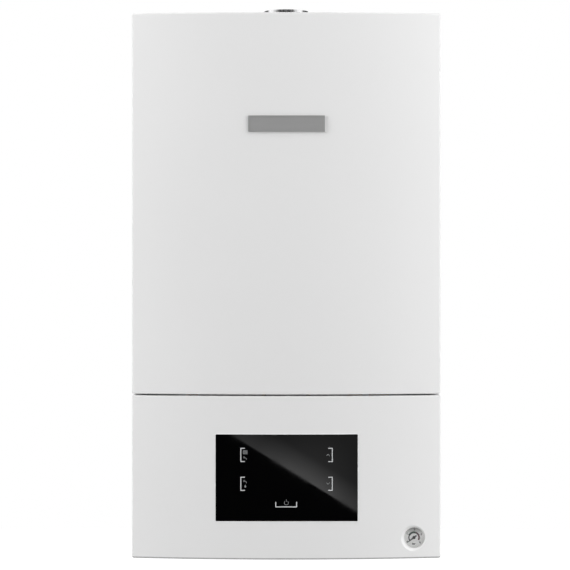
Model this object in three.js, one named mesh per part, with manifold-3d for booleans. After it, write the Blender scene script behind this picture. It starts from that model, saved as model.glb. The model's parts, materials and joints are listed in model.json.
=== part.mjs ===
// Wall-hung gas boiler: painted casing, fold-down control panel, sealed burner chamber and water side.
// Millimetres, +Z up, the wall is the plane Y = 0 and the front faces -Y.
// The origin is the middle of the wall bracket's back face.
import * as THREE from "three";
import { mergeVertices } from "three/addons/utils/BufferGeometryUtils.js";
import Module from "manifold-3d";

const wasm = await Module();
wasm.setup();

// Casing
const casingWidth = 400;
const casingHeight = 705;
const sideDepth = 242;
const edgeDepth = 283;
const frontBow = 16;
const sheet = 1.2;
const clearance = 0.3;
const frontEdgeRadius = 3;
const sideFlange = 12;
const sideRearFlange = 8;
const sideRearDepth = 2;
const coverEdgeRadius = 2;
const bracketDrop = 60;

// Front cover
const seamGap = 1.8;
const coverFlange = 14;
const coverLip = 4.3;
const coverTabWidth = 24;
const coverTabReach = 55;
const coverTabHoleInset = 8;
const coverTabOffset = 120;
const gutterReach = 4.7;
const gutterLip = 3.3;
const topDrop = 7;

// Badge plate
const badgeWidth = 103;
const badgeHeight = 21;
const badgeThickness = 1.8;
const badgeDrop = 143.6;
const badgeOffset = 2.3;

// Fold-down panel
const fasciaHeight = 210.7;
const fasciaWall = 2.5;
const fasciaBottomReturn = 10;
const fasciaTopReturn = 12;
const panelPivotHeight = 12;
const panelPivotSetback = 21;
const trunnionRadius = 4;
const trunnionLength = 9;
const trunnionBossRadius = 6.5;
const hingeThickness = 2;
const hingeTipRadius = 7;
const hingeInset = 6.5;
const bossRadius = 4.5;

// Display
const glassWidth = 182.8;
const glassHeight = 111.7;
const glassThickness = 2.9;
const glassCornerRadius = 1;
const glassCentreHeight = 105.25;
const glassOffset = 0.4;
const glassRecess = 3;
const glassLedge = 4;
const glassFrame = 4;
const displayBoardThickness = 1.6;

// Pressure gauge
const gaugeInset = 34.6;
const gaugeHeight = 26.3;
const gaugeHoleRadius = 13.8;
const gaugeFlare = 3.4;
const gaugeFlareStart = 1.8;
const gaugeCollarRadius = 19;
const gaugeCollarDepth = 8;
const gaugeSetback = 4.6;
const gaugeWell = 3;
const gaugeCaseRadius = 15.6;
const gaugeDialRadius = 13.2;
const gaugeLength = 30;
const gaugeLensThickness = 1.2;
const needleLength = 10.5;
const needleTail = 4.2;
const needleAngle = 217.6;
const spindleRadius = 0.8;

// Control box
const boxInset = 28;
const boxGaugeGap = 26;
const boxBottom = 20;
const boxTop = 188;
const boxFrontDepth = 282;
const boxDepth = 58;
const boxWall = 2;
const boardThickness = 1.6;
const boardMargin = 6;
const boardPost = 8;
const ventSlots = 7;
const ventSlotPitch = 30;

// Back frame and wall bracket
const frameDepth = 12;
const frameFoot = 14;
const frameFootInset = 28;
const frameBottom = 4;
const frameTopDrop = 15;
const bracketInset = 50;
const bracketSlotInset = 14;
const bracketInnerSlot = 40;
const bracketPlateHeight = 60;
const bracketThickness = 2;
const hookOffset = 110;
const hookWidth = 36;
const hookReach = 18;
const hookLip = 12;

// Burner chamber
const chamberGap = 28;
const chamberBackDepth = 86;
const chamberFrontDepth = 236;
const chamberBottom = 300;
const chamberFlange = 12;
const coverPlate = 1.2;
const ribHeight = 3;
const windowX = 0;
const windowHeight = 344;
const windowRadius = 16;

// Flue
const flueDepth = 136.5;
const flueRadius = 30;
const flueWall = 1.5;
const flueRise = 19.2;
const flueFlare = 12;
const airHoleRadius = 50;
const collarRadius = 66;
const collarUpstand = 10;
const airPortInset = 44;
const airPortRadius = 42;
const airPortHole = 34;

// Fan
const fanHeight = 606;
const fanWidth = 44;
const fanWall = 1.5;
const fanInletRadius = 34;
const scrollStart = 58;
const scrollGrowth = 20;
const fanOutletWidth = 56;
const fanOutletHeight = 668;
const impellerRadius = 50;
const impellerHubRadius = 9;
const impellerWidth = 32;
const impellerBlades = 12;
const impellerBladeDepth = 11;
const motorRadius = 34;
const motorLength = 52;
const motorFlange = 3;
const fanShaftRadius = 3;
const fanFootLip = 6;
const fanFootThickness = 2.5;

// Heat exchanger, burner and flue hood
const coreGap = 65;
const coreDepth = 118;
const coreCentreDepth = 162;
const coreBottom = 440;
const coreHeight = 56;
const finCount = 11;
const finThickness = 1.8;
const tubeCount = 3;
const tubeWidth = 20;
const tubeHeight = 34;
const tubeWall = 1.5;
const bendReach = 13;
const burnerBottom = 322;
const burnerHeight = 32;
const burnerBars = 9;
const burnerSideGap = 16;
const burnerDepth = 104;
const burnerBarWidth = 11;
const combustionWall = 4;
const injectorRadius = 2.6;
const injectorHeight = 333;
const exchangerStub = 8;
const manifoldRadius = 8;
const manifoldDepth = 222;
const hoodFrontHeight = 30;
const hoodRearHeight = 62;
const hoodRiserTop = 652;
const hoodRiserHalf = 46;

// Pipework
const stubDepth = 110;
const stubDrop = 15;
const pipeWallGap = 42;
const stubRadius = 13.2;
const smallStubRadius = 10.5;
const nutHeight = 14;
const pipeRadius = 9;
const smallPipeRadius = 7;
const pipePlateHeight = 22;
const pipePlateReach = 34;
const stubSides = 12;
const returnJog = 26;
const returnJogDrop = 24;

// Pump and hydraulic blocks
const pumpOffset = 8;
const pumpHeight = 128;
const pumpMotorRadius = 44;
const pumpMotorLength = 78;
const pumpCasingRadius = 40;
const pumpFrontDepth = 112;
const pumpBackDepth = 66;
const pumpNeckRadius = 13;
const rotorRadius = 24;
const rotorShaftRadius = 3;
const pumpNeckDepth = 95;
const ventOffset = 26;
const ventDepth = 89;
const ventRadius = 11;
const ventHeight = 34;
const blockBottom = 38;
const blockTop = 84;
const blockWidth = 44;
const blockThickness = 44;
const portBlockOffset = 2;
const portBlockWidth = 26;
const portBlockDepth = 28;
const fillSpindleRadius = 3;
const fillKnobRadius = 12;
const fillKnobHeight = 13;
const safetyHeight = 60;
const safetyKnobRadius = 14;
const safetyKnobLength = 18;
const actuatorOffset = 8;
const actuatorHeight = 128;
const blockWall = 5;
const plateReach = 15;
const plateHeight = 72;
const plateBottom = 74;
const plateFrontDepth = 83;
const plateThickness = 48;
const plateCount = 9;
const plateWall = 3;
const portRadius = 6;
const portRise = 24;

// Gas valve
const valveWidth = 84;
const valveHeight = 88;
const valveDepth = 46;
const coilRadius = 14;
const coilLength = 30;
const valveBottom = 172;
const valveForward = 36;
const gasBendDrop = 14;

// Pressure switch and its hose
const switchInset = 60;
const switchHeight = 620;
const hoseRadius = 3.5;
const hoseReach = 34;

// Expansion vessel
const vesselRadius = 150;
const vesselThickness = 66;
const vesselHeight = 520;
const vesselWall = 1.4;
const vesselNeckRadius = 8;
const vesselNeckBore = 5;
const vesselNeckLength = 14;
const vesselPipeRadius = 5;
const vesselPipeRun = 240;

// Facets
const bowSegments = 12;
const cornerSegments = 2;
const largeSides = 20;
const mediumSides = 10;
const smallSides = 8;

// Worked-out places, as heights above the casing's lower edge and depths from the wall
const halfWidth = casingWidth / 2;
const innerHalf = halfWidth - sheet - clearance;
const frontDepth = edgeDepth + frontBow;
const glassFrontDepth = frontDepth - glassRecess;
const gaugeX = halfWidth - gaugeInset;
const gaugeFaceDepth = faceDepth(gaugeX) - gaugeSetback;
const boxLeft = boxInset - halfWidth;
const boxRight = gaugeX - boxGaugeGap;
const frameFootOffset = halfWidth - frameFootInset;
const bracketWidth = casingWidth - 2 * bracketInset;
const chamberWidth = casingWidth - 2 * chamberGap;
const ribWidth = chamberWidth - 64;
const stubSpacing = (chamberWidth / 2 - pipeWallGap) / 2;
const flowX = -2 * stubSpacing;
const returnX = 2 * stubSpacing;
const fillX = 1.5 * stubSpacing;
const pumpX = returnX - pumpOffset;
const ventX = pumpX - ventOffset;
const actuatorX = flowX + actuatorOffset;
const portBlockX = stubSpacing - portBlockOffset;
const plateWidth = 2 * (stubSpacing + plateReach);
const airPortOffset = chamberWidth / 2 - airPortInset;
const switchPlace = { x: chamberWidth / 2 - switchInset, z: switchHeight };
const coreWidth = chamberWidth - 2 * coreGap;
const burnerBarPitch = (coreWidth - burnerSideGap) / burnerBars;
const boxRearDepth = boxFrontDepth - boxDepth;
const valveFrontDepth = stubDepth + valveForward;
const gasOutletDepth = valveFrontDepth - valveDepth / 2;
const returnDepth = sideDepth + 1;
const coverBottom = fasciaHeight + seamGap;
const topPlateHeight = casingHeight - topDrop;
const panelPivotDepth = edgeDepth - panelPivotSetback;
const coverPivotHeight = casingHeight - sheet;
const bracketHeight = casingHeight - bracketDrop;
const frameFront = frameDepth + sheet;
const stubs = [
  { x: flowX, radius: stubRadius },
  { x: -stubSpacing, radius: smallStubRadius },
  { x: 0, radius: stubRadius },
  { x: stubSpacing, radius: smallStubRadius },
  { x: returnX, radius: stubRadius },
];
const coverTabHoleDepth = edgeDepth - coverTabReach + coverTabHoleInset;
const chamberTop = topPlateHeight - clearance;
const burnerTop = burnerBottom + burnerHeight;
const coreTop = coreBottom + coreHeight;
const hoodTop = coreTop + hoodFrontHeight;
const exchangerMiddle = coreBottom + coreHeight / 2;
const pumpTop = pumpHeight + pumpCasingRadius + 22;
const coreBack = coreCentreDepth - coreDepth / 2;
const coreFront = coreCentreDepth + coreDepth / 2;
const combustionBottom = burnerTop + clearance;
const chamberFloor = chamberBottom + sheet;
const fanX = fanOutletWidth / 2 - scrollStart - scrollGrowth;
const fanBackDepth = flueDepth - fanWidth / 2;
const fanFrontDepth = flueDepth + fanWidth / 2;
const far = 2000;

// A manifold-3d solid of a closed three.js geometry.
function solid(geometry) {
  const bare = geometry.index ? geometry.toNonIndexed() : geometry.clone();
  bare.deleteAttribute("normal");
  bare.deleteAttribute("uv");
  const merged = mergeVertices(bare, 1e-4);
  const index = merged.index.array;
  const kept = [];
  for (let i = 0; i < index.length; i += 3) {
    const [a, b, c] = [index[i], index[i + 1], index[i + 2]];
    if (a !== b && b !== c && a !== c) kept.push(a, b, c);
  }
  return new wasm.Manifold(
    new wasm.Mesh({
      numProp: 3,
      vertProperties: merged.attributes.position.array,
      triVerts: new Uint32Array(kept),
    }),
  );
}

const join = (...solids) => solids.reduce((whole, piece) => whole.add(piece));
const cut = (whole, ...tools) => tools.reduce((rest, tool) => rest.subtract(tool), whole);

// A box between two x, two depths from the wall and two heights.
function block(x0, x1, depth0, depth1, z0, z1) {
  const box = new THREE.BoxGeometry(x1 - x0, depth1 - depth0, z1 - z0);
  return solid(box.translate((x0 + x1) / 2, -(depth0 + depth1) / 2, (z0 + z1) / 2));
}

// The same box on the left (side -1) or on the right (side 1) of the middle.
const sideBlock = (side, inner, outer, depth0, depth1, z0, z1) =>
  side > 0 ? block(inner, outer, depth0, depth1, z0, z1) : block(-outer, -inner, depth0, depth1, z0, z1);

const outline = (points) => new THREE.Shape(points.map(([a, b]) => new THREE.Vector2(a, b)));

// An outline of x and y, extruded upwards.
function prismUp(points, z0, z1) {
  const shape = new THREE.ExtrudeGeometry(outline(points), { depth: z1 - z0, bevelEnabled: false });
  return solid(shape.translate(0, 0, z0));
}

// An outline of x and height, extruded between two depths from the wall.
function prismBack(points, depth0, depth1) {
  const shape = new THREE.ExtrudeGeometry(outline(points), { depth: depth1 - depth0, bevelEnabled: false });
  return solid(shape.rotateX(Math.PI / 2).translate(0, -depth0, 0));
}

// An outline of depth from the wall and height, extruded between two x.
function prismAcross(points, x0, x1) {
  const flipped = points.map(([depth, z]) => [-depth, z]);
  const shape = new THREE.ExtrudeGeometry(outline(flipped), { depth: x1 - x0, bevelEnabled: false });
  return solid(shape.rotateX(Math.PI / 2).rotateZ(Math.PI / 2).translate(x0, 0, 0));
}

function circle(radius, x = 0, y = 0, sides = mediumSides) {
  return Array.from({ length: sides }, (_, i) => {
    const angle = (2 * Math.PI * (i + 0.5)) / sides;
    return [x + radius * Math.cos(angle), y + radius * Math.sin(angle)];
  });
}

// A rectangle with round corners, about a centre.
function roundedBox(width, height, radius, x = 0, y = 0, steps = 3) {
  const points = [];
  [[1, 1], [-1, 1], [-1, -1], [1, -1]].forEach(([sx, sy], quarter) => {
    for (let i = 0; i <= steps; i++) {
      const angle = (Math.PI / 2) * (quarter + i / steps);
      points.push([
        x + sx * (width / 2 - radius) + radius * Math.cos(angle),
        y + sy * (height / 2 - radius) + radius * Math.sin(angle),
      ]);
    }
  });
  return points;
}

const rodUp = (radius, x, depth, z0, z1, sides) => prismUp(circle(radius, x, -depth, sides), z0, z1);
const rodBack = (radius, x, z, depth0, depth1, sides) =>
  prismBack(circle(radius, x, z, sides), depth0, depth1);
const rodAcross = (radius, depth, z, x0, x1, sides) =>
  prismAcross(circle(radius, depth, z, sides), x0, x1);

// A turned piece about the vertical axis: profile points are radius and height.
function turned(profile, sides = mediumSides) {
  const points = profile.map(([r, z]) => new THREE.Vector2(r, z));
  return solid(new THREE.LatheGeometry(points, sides).rotateX(Math.PI / 2));
}

const turnedUp = (profile, x, depth, sides) => turned(profile, sides).translate([x, -depth, 0]);

// A turned piece about a front-to-back axis: profile points are radius and depth from the wall.
const turnedBack = (profile, x, z, sides) =>
  turned(profile, sides).rotate([90, 0, 0]).translate([x, 0, z]);

// A round tube along straight runs with rounded bends; points are x, depth and height.
function pipe(points, radius, bend, sides = smallSides, pitch = 3.2) {
  const corners = points.map(([x, depth, z]) => new THREE.Vector3(x, -depth, z));
  const path = new THREE.CurvePath();
  let from = corners[0];
  corners.slice(1, -1).forEach((corner, i) => {
    const before = corner.clone().sub(corners[i]).setLength(bend);
    const after = corners[i + 2].clone().sub(corner).setLength(bend);
    const start = corner.clone().sub(before);
    const end = corner.clone().add(after);
    path.add(new THREE.LineCurve3(from, start));
    path.add(new THREE.QuadraticBezierCurve3(start, corner, end));
    from = end;
  });
  path.add(new THREE.LineCurve3(from, corners.at(-1)));
  const steps = Math.max(1, Math.round(path.getLength() / (pitch * radius)));
  const section = outline(circle(radius, 0, 0, sides));
  return solid(new THREE.ExtrudeGeometry(section, { steps, extrudePath: path }));
}

// Plan outline of the bowed front, drawn in from the outside by inset, and reaching back to backDepth.
function frontOutline(inset, backDepth) {
  const bowRadius = halfWidth ** 2 / (2 * frontBow) + frontBow / 2 - inset;
  const centreDepth = frontDepth - inset - bowRadius;
  const side = halfWidth - inset;
  const corner = Math.max(frontEdgeRadius - inset, 0.6);
  const cornerX = side - corner;
  const cornerRise = Math.sqrt((bowRadius - corner) ** 2 - cornerX ** 2);
  const endAngle = Math.atan2(cornerX, cornerRise);
  const right = [[side, -backDepth]];
  for (let i = 0; i < cornerSegments; i++) {
    const angle = ((Math.PI / 2 - endAngle) * i) / cornerSegments;
    right.push([
      cornerX + corner * Math.cos(angle),
      -(centreDepth + cornerRise + corner * Math.sin(angle)),
    ]);
  }
  const bow = [];
  for (let i = 0; i <= bowSegments; i++) {
    const angle = endAngle * (1 - (2 * i) / bowSegments);
    bow.push([bowRadius * Math.sin(angle), -(centreDepth + bowRadius * Math.cos(angle))]);
  }
  const left = right.map(([x, y]) => [-x, y]).reverse();
  return [...right, ...bow, ...left];
}

// Depth from the wall of the bowed front's outer face at x.
function faceDepth(x) {
  const bowRadius = halfWidth ** 2 / (2 * frontBow) + frontBow / 2;
  return frontDepth - bowRadius + Math.sqrt(bowRadius ** 2 - x ** 2);
}

// A bowed front shell, open at the back, with rounded upper and lower edges.
function bowedShell(z0, z1, wall) {
  const round = coverEdgeRadius;
  const slab = new THREE.ExtrudeGeometry(outline(frontOutline(0, returnDepth - 4 * round)), {
    depth: z1 - z0 - 2 * round,
    bevelThickness: round,
    bevelSize: round,
    bevelOffset: -round,
    bevelSegments: 2,
  });
  const body = solid(slab.translate(0, 0, z0 + round));
  const back = block(-far, far, 0, returnDepth, -far, far);
  const hollow = prismUp(frontOutline(wall, returnDepth - 1), z0 + wall, z1 - wall);
  return cut(body, back, hollow);
}

function frontCover() {
  const shell = bowedShell(coverBottom, casingHeight, sheet);
  const flangeOpening = prismUp(frontOutline(coverFlange, returnDepth - 1), coverBottom - 1, coverBottom + 5);
  const lipTop = coverPivotHeight + sheet / 2;
  const lip = block(
    -halfWidth + 10, halfWidth - 10, returnDepth, returnDepth + sheet,
    coverPivotHeight - coverLip, lipTop,
  );
  const tabs = [-1, 1].map((side) => {
    const x = side * coverTabOffset;
    const tab = block(
      x - coverTabWidth / 2, x + coverTabWidth / 2,
      edgeDepth - coverTabReach, edgeDepth, coverBottom, coverBottom + sheet,
    );
    return cut(tab, rodUp(2.4, x, coverTabHoleDepth, coverBottom - 1, coverBottom + 3, smallSides));
  });
  return join(cut(shell, flangeOpening), lip, ...tabs);
}

function badgePlate() {
  const centre = casingHeight - badgeDrop;
  const plate = prismBack(
    roundedBox(badgeWidth, badgeHeight, 1, badgeOffset, centre),
    faceDepth(badgeWidth / 2 + badgeOffset) - badgeThickness, frontDepth + badgeThickness,
  );
  const outer = prismUp(frontOutline(-badgeThickness, returnDepth), centre - badgeHeight, centre + badgeHeight);
  const inner = prismUp(
    frontOutline(-clearance, returnDepth - 1), centre - badgeHeight - 1, centre + badgeHeight + 1,
  );
  const band = cut(plate.intersect(outer), inner);
  const field = prismBack(
    roundedBox(badgeWidth - 3.4, badgeHeight - 3.4, 0.6, badgeOffset, centre), edgeDepth, frontDepth + far,
  );
  const recess = cut(field, prismUp(frontOutline(-badgeThickness + 0.5, returnDepth), 0, casingHeight));
  return cut(band, recess);
}

// One side panel: a channel with a front flange and a rear flange, both turned inwards.
function sidePanel(side) {
  const section = [
    [halfWidth, sideRearDepth], [halfWidth, sideDepth], [halfWidth - sideFlange, sideDepth],
    [halfWidth - sideFlange, sideDepth - sheet], [halfWidth - sheet, sideDepth - sheet],
    [halfWidth - sheet, sideRearDepth + sheet], [halfWidth - sideRearFlange, sideRearDepth + sheet],
    [halfWidth - sideRearFlange, sideRearDepth],
  ].map(([x, depth]) => [side * x, -depth]);
  return prismUp(section, 0, casingHeight);
}

// Top plate: rear flange, flue hole, and a gutter at the front that the cover's lip drops into.
function topPlate() {
  const z = topPlateHeight;
  const rear = frameFront + clearance;
  const front = returnDepth + sheet + gutterReach;
  const section = [
    [rear, z - 15], [rear + sheet, z - 15], [rear + sheet, z], [front, z], [front, z + sheet + gutterLip],
    [front - sheet, z + sheet + gutterLip], [front - sheet, z + sheet], [rear, z + sheet],
  ];
  const plate = prismAcross(section, -innerHalf, innerHalf);
  const airHole = rodUp(airHoleRadius, 0, flueDepth, z - 1, z + 3, largeSides);
  const portHole = rodUp(airPortHole, airPortOffset, flueDepth, z - 1, z + 3, mediumSides);
  const corners = [-1, 1].map((side) => {
    const inner = halfWidth - sideFlange - clearance;
    const back = sideDepth - sheet - clearance;
    return sideBlock(side, inner, halfWidth, back, frontDepth, z - 1, casingHeight);
  });
  return cut(plate, airHole, portHole, ...corners);
}

// Rail across the casing behind the cover's lower edge, a channel open at the back.
function crossRail() {
  const low = coverBottom + sheet + clearance;
  const high = low + 22;
  const front = sideDepth - sheet - clearance;
  const section = [
    [front, low], [front, high], [front - 20, high], [front - 20, high - sheet],
    [front - sheet, high - sheet], [front - sheet, low + sheet], [front - 20, low + sheet], [front - 20, low],
  ];
  const rail = prismAcross(section, -innerHalf, innerHalf);
  const holes = [-1, 1].map((side) =>
    rodUp(1.9, side * coverTabOffset, coverTabHoleDepth, low - 1, low + 3, smallSides),
  );
  return cut(rail, ...holes);
}

// Pressed back plate with two feet against the wall and slots for the wall bracket's hooks.
function backFrame() {
  const low = frameBottom;
  const high = casingHeight - frameTopDrop;
  const feet = [-1, 1].map((side) => {
    const a = side * frameFootOffset;
    const b = side * (frameFootOffset + frameFoot);
    const section = [
      [a, frameDepth + 0.2], [a, 0], [b, 0], [b, frameDepth + 0.2],
      [b - side * sheet, frameDepth + 0.2], [b - side * sheet, sheet],
      [a + side * sheet, sheet], [a + side * sheet, frameDepth + 0.2],
    ].map(([x, depth]) => [x, -depth]);
    return prismUp(section, low, high);
  });
  const plate = block(-innerHalf, innerHalf, frameDepth, frameFront, low, high);
  const slots = [-1, 1].map((side) => {
    const x = side * hookOffset;
    const room = hookWidth / 2 + 3;
    return block(
      x - room, x + room, frameDepth - 1, frameFront + 1,
      bracketHeight - hookLip, bracketHeight + bracketThickness + clearance,
    );
  });
  const pressing = prismBack(roundedBox(220, 180, 30, 0, 210), frameDepth - 3, frameDepth + 0.2);
  const dish = prismBack(roundedBox(214, 174, 27, 0, 210), frameDepth - 3 + sheet, frameFront + 1);
  return cut(join(plate, ...feet, pressing), dish, ...slots);
}

// Rail screwed to the wall, with two up-turned hooks.
function wallBracket() {
  const half = bracketPlateHeight / 2;
  const plate = block(
    -bracketWidth / 2, bracketWidth / 2, 0, bracketThickness, bracketHeight - half, bracketHeight + half,
  );
  const hooks = [-1, 1].map((side) => {
    const x = side * hookOffset;
    const edge = hookReach - bracketThickness;
    const section = [
      [bracketThickness - 0.5, bracketHeight], [hookReach, bracketHeight], [hookReach, bracketHeight + hookLip],
      [edge, bracketHeight + hookLip], [edge, bracketHeight + bracketThickness],
      [bracketThickness - 0.5, bracketHeight + bracketThickness],
    ];
    return prismAcross(section, x - hookWidth / 2, x + hookWidth / 2);
  });
  const slots = [-1, 1].flatMap((side) =>
    [bracketInnerSlot, bracketWidth / 2 - bracketSlotInset].map((x) =>
      prismBack(roundedBox(16, 8, 3.9, side * x, bracketHeight - 14), -1, bracketThickness + 1),
    ),
  );
  return cut(join(plate, ...hooks), ...slots);
}

// Angle plate across the bottom that the pipe ends pass through.
function pipePlate() {
  const top = pipePlateHeight;
  const back = frameFront + clearance;
  const front = stubDepth + pipePlateReach;
  const section = [
    [back, top - sheet], [back, top + 14], [back + sheet, top + 14], [back + sheet, top],
    [front, top], [front, top - 12], [front - sheet, top - 12], [front - sheet, top - sheet],
  ];
  const plate = prismAcross(section, -innerHalf, innerHalf);
  const holes = stubs.map(({ x, radius }) =>
    rodUp(radius + clearance, x, stubDepth, top - 3, top + 3, stubSides),
  );
  const spindleHole = rodUp(fillSpindleRadius + 1, fillX, stubDepth, top - 3, top + 3, smallSides);
  return cut(plate, ...holes, spindleHole);
}

// Hinge arm on a side panel's front flange, which a trunnion of the fold-down panel turns in.
function hingeBracket(side) {
  const outer = halfWidth - hingeInset;
  const back = sideDepth + clearance;
  const pivot = circle(hingeTipRadius, panelPivotDepth, panelPivotHeight, mediumSides);
  const tip = prismAcross(pivot, outer - hingeThickness, outer);
  const arm = block(
    outer - hingeThickness, outer, back, panelPivotDepth,
    panelPivotHeight - hingeTipRadius + 1, panelPivotHeight + hingeTipRadius - 1,
  );
  const tab = block(
    outer - 10, outer, back, back + hingeThickness, panelPivotHeight - 8, panelPivotHeight + 18,
  );
  const hole = rodAcross(
    trunnionRadius + clearance, panelPivotDepth, panelPivotHeight, outer - 5, outer + 5, mediumSides,
  );
  const bracket = cut(join(tip, arm, tab), hole);
  return side > 0 ? bracket : bracket.mirror([1, 0, 0]);
}

// Moulded front of the fold-down panel, with a flat pocket for the display glass.
function controlFascia() {
  const shell = bowedShell(0, fasciaHeight, fasciaWall);
  const topOpening = prismUp(
    frontOutline(fasciaTopReturn, returnDepth - 1), fasciaHeight - 5, fasciaHeight + 1,
  );
  const bottomOpening = block(
    -halfWidth + fasciaWall, halfWidth - fasciaWall, 0, edgeDepth - fasciaBottomReturn, -1, fasciaWall + 1,
  );
  const glassBack = glassFrontDepth - glassThickness - clearance / 2;
  const frame = prismBack(
    roundedBox(glassWidth + 2 * glassFrame, glassHeight + 2 * glassFrame, 3, glassOffset, glassCentreHeight),
    glassBack - glassFrame, glassBack + glassFrame,
  );
  const slab = prismUp(frontOutline(1, returnDepth), 0, fasciaHeight);
  const pocket = prismBack(
    roundedBox(
      glassWidth + clearance, glassHeight + clearance, glassCornerRadius, glassOffset, glassCentreHeight,
    ),
    glassBack, frontDepth + 5,
  );
  const window = prismBack(
    roundedBox(glassWidth - 2 * glassLedge, glassHeight - 2 * glassLedge, 1, glassOffset, glassCentreHeight),
    boxFrontDepth, frontDepth + 5,
  );
  const gaugeCollar = rodBack(
    gaugeCollarRadius, gaugeX, gaugeHeight, gaugeFaceDepth - gaugeCollarDepth, frontDepth, largeSides,
  );
  const seatRadius = gaugeCaseRadius + clearance;
  const seatDepth = gaugeFaceDepth + clearance;
  const flareDepth = gaugeFaceDepth + gaugeFlareStart;
  const gaugeHole = turnedBack(
    [[0, returnDepth], [seatRadius, returnDepth], [seatRadius, seatDepth], [gaugeHoleRadius, seatDepth],
      [gaugeHoleRadius, flareDepth], [gaugeHoleRadius + gaugeFlare, flareDepth + gaugeFlare],
      [gaugeHoleRadius + gaugeFlare, frontDepth], [0, frontDepth]],
    gaugeX, gaugeHeight, largeSides,
  );
  const bosses = [boxLeft + 8, boxRight - 8].flatMap((x) =>
    [boxBottom + 8, boxTop - 8].map((z) =>
      rodBack(bossRadius, x, z, boxFrontDepth + clearance, faceDepth(x) - 1, smallSides),
    ),
  );
  const trunnions = [-1, 1].flatMap((side) => {
    const wall = side * (halfWidth - 1);
    const tip = side * (halfWidth - fasciaWall - trunnionLength);
    const shoulder = side * (halfWidth - hingeInset + 0.7);
    const [low, high] = [Math.min(wall, tip), Math.max(wall, tip)];
    const [bossLow, bossHigh] = [Math.min(wall, shoulder), Math.max(wall, shoulder)];
    return [
      rodAcross(trunnionRadius, panelPivotDepth, panelPivotHeight, low, high, mediumSides),
      rodAcross(trunnionBossRadius, panelPivotDepth, panelPivotHeight, bossLow, bossHigh, mediumSides),
    ];
  });
  const heel = cut(
    block(-halfWidth - 1, halfWidth + 1, 0, panelPivotDepth, -1, panelPivotHeight),
    rodAcross(
      panelPivotDepth - sideDepth - 0.6, panelPivotDepth, panelPivotHeight,
      -halfWidth - 2, halfWidth + 2, largeSides,
    ),
  );
  const front = cut(shell, topOpening, bottomOpening, heel);
  const backing = join(frame, gaugeCollar).intersect(slab);
  return cut(join(front, backing, ...trunnions, ...bosses), pocket, window, gaugeHole);
}

function displayGlass() {
  return prismBack(
    roundedBox(glassWidth, glassHeight, glassCornerRadius, glassOffset, glassCentreHeight),
    glassFrontDepth - glassThickness, glassFrontDepth,
  );
}

// Circuit board behind the glass, with its display module and four feet on the control box.
function displayBoard() {
  const back = boxFrontDepth + boardPost / 2;
  const board = prismBack(
    roundedBox(glassWidth - 22, glassHeight - 16, 2, 0, glassCentreHeight),
    back, back + displayBoardThickness,
  );
  const module = block(-44, 44, back + 1, back + 5, glassCentreHeight - 22, glassCentreHeight + 26);
  const feet = [-1, 1].flatMap((sx) =>
    [-1, 1].map((sz) =>
      rodBack(3, sx * 70, glassCentreHeight + sz * 38, boxFrontDepth + clearance, back + 0.5, smallSides),
    ),
  );
  const connector = block(
    50, 64, boxFrontDepth + clearance, back + 0.5, glassCentreHeight - 8, glassCentreHeight + 8,
  );
  return join(board, module, connector, ...feet);
}

// Tray behind the fascia that holds the main board, open at the back.
function controlBox() {
  const back = boxRearDepth + boxWall + clearance;
  const shell = prismBack(
    roundedBox(boxRight - boxLeft, boxTop - boxBottom, 5, (boxLeft + boxRight) / 2, (boxBottom + boxTop) / 2),
    back, boxFrontDepth,
  );
  const hollow = block(
    boxLeft + boxWall, boxRight - boxWall, back - 1, boxFrontDepth - boxWall,
    boxBottom + boxWall, boxTop - boxWall,
  );
  const posts = boardCorners().map(([x, z]) =>
    rodBack(3, x, z, boxFrontDepth - boxWall - boardPost, boxFrontDepth - 1, smallSides),
  );
  const cableSlots = [-1, 1].map((side) => {
    const x = (boxLeft + boxRight) / 2 + side * 90;
    return block(x - 14, x + 14, back - 1, back + 12, boxBottom - 1, boxBottom + boxWall + 1);
  });
  return cut(join(cut(shell, hollow), ...posts), ...cableSlots);
}

function boardCorners() {
  const inset = boxWall + boardMargin + 5;
  const heights = [boxBottom + inset, boxTop - inset];
  return [boxLeft + inset, boxRight - inset].flatMap((x) => heights.map((z) => [x, z]));
}

// Rear lid of the control box, with a locating rim and two rows of vents.
function controlBoxLid() {
  const centreX = (boxLeft + boxRight) / 2;
  const centreZ = (boxBottom + boxTop) / 2;
  const width = boxRight - boxLeft;
  const height = boxTop - boxBottom;
  const fit = boxWall + clearance;
  const about = (inset) => roundedBox(width - 2 * inset, height - 2 * inset, inset ? 1 : 5, centreX, centreZ);
  const plate = prismBack(about(0), boxRearDepth, boxRearDepth + boxWall);
  const rim = cut(
    prismBack(about(fit), boxRearDepth + 1, boxRearDepth + 5),
    prismBack(about(fit + 1.5), boxRearDepth, boxRearDepth + 6),
  );
  const vents = Array.from({ length: ventSlots }, (_, i) => {
    const x = centreX + ventSlotPitch * (i - (ventSlots - 1) / 2);
    return block(x - 2, x + 2, boxRearDepth - 1, boxRearDepth + boxWall + 1, boxTop - 58, boxTop - 24);
  });
  return cut(join(plate, rim), ...vents);
}

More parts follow.
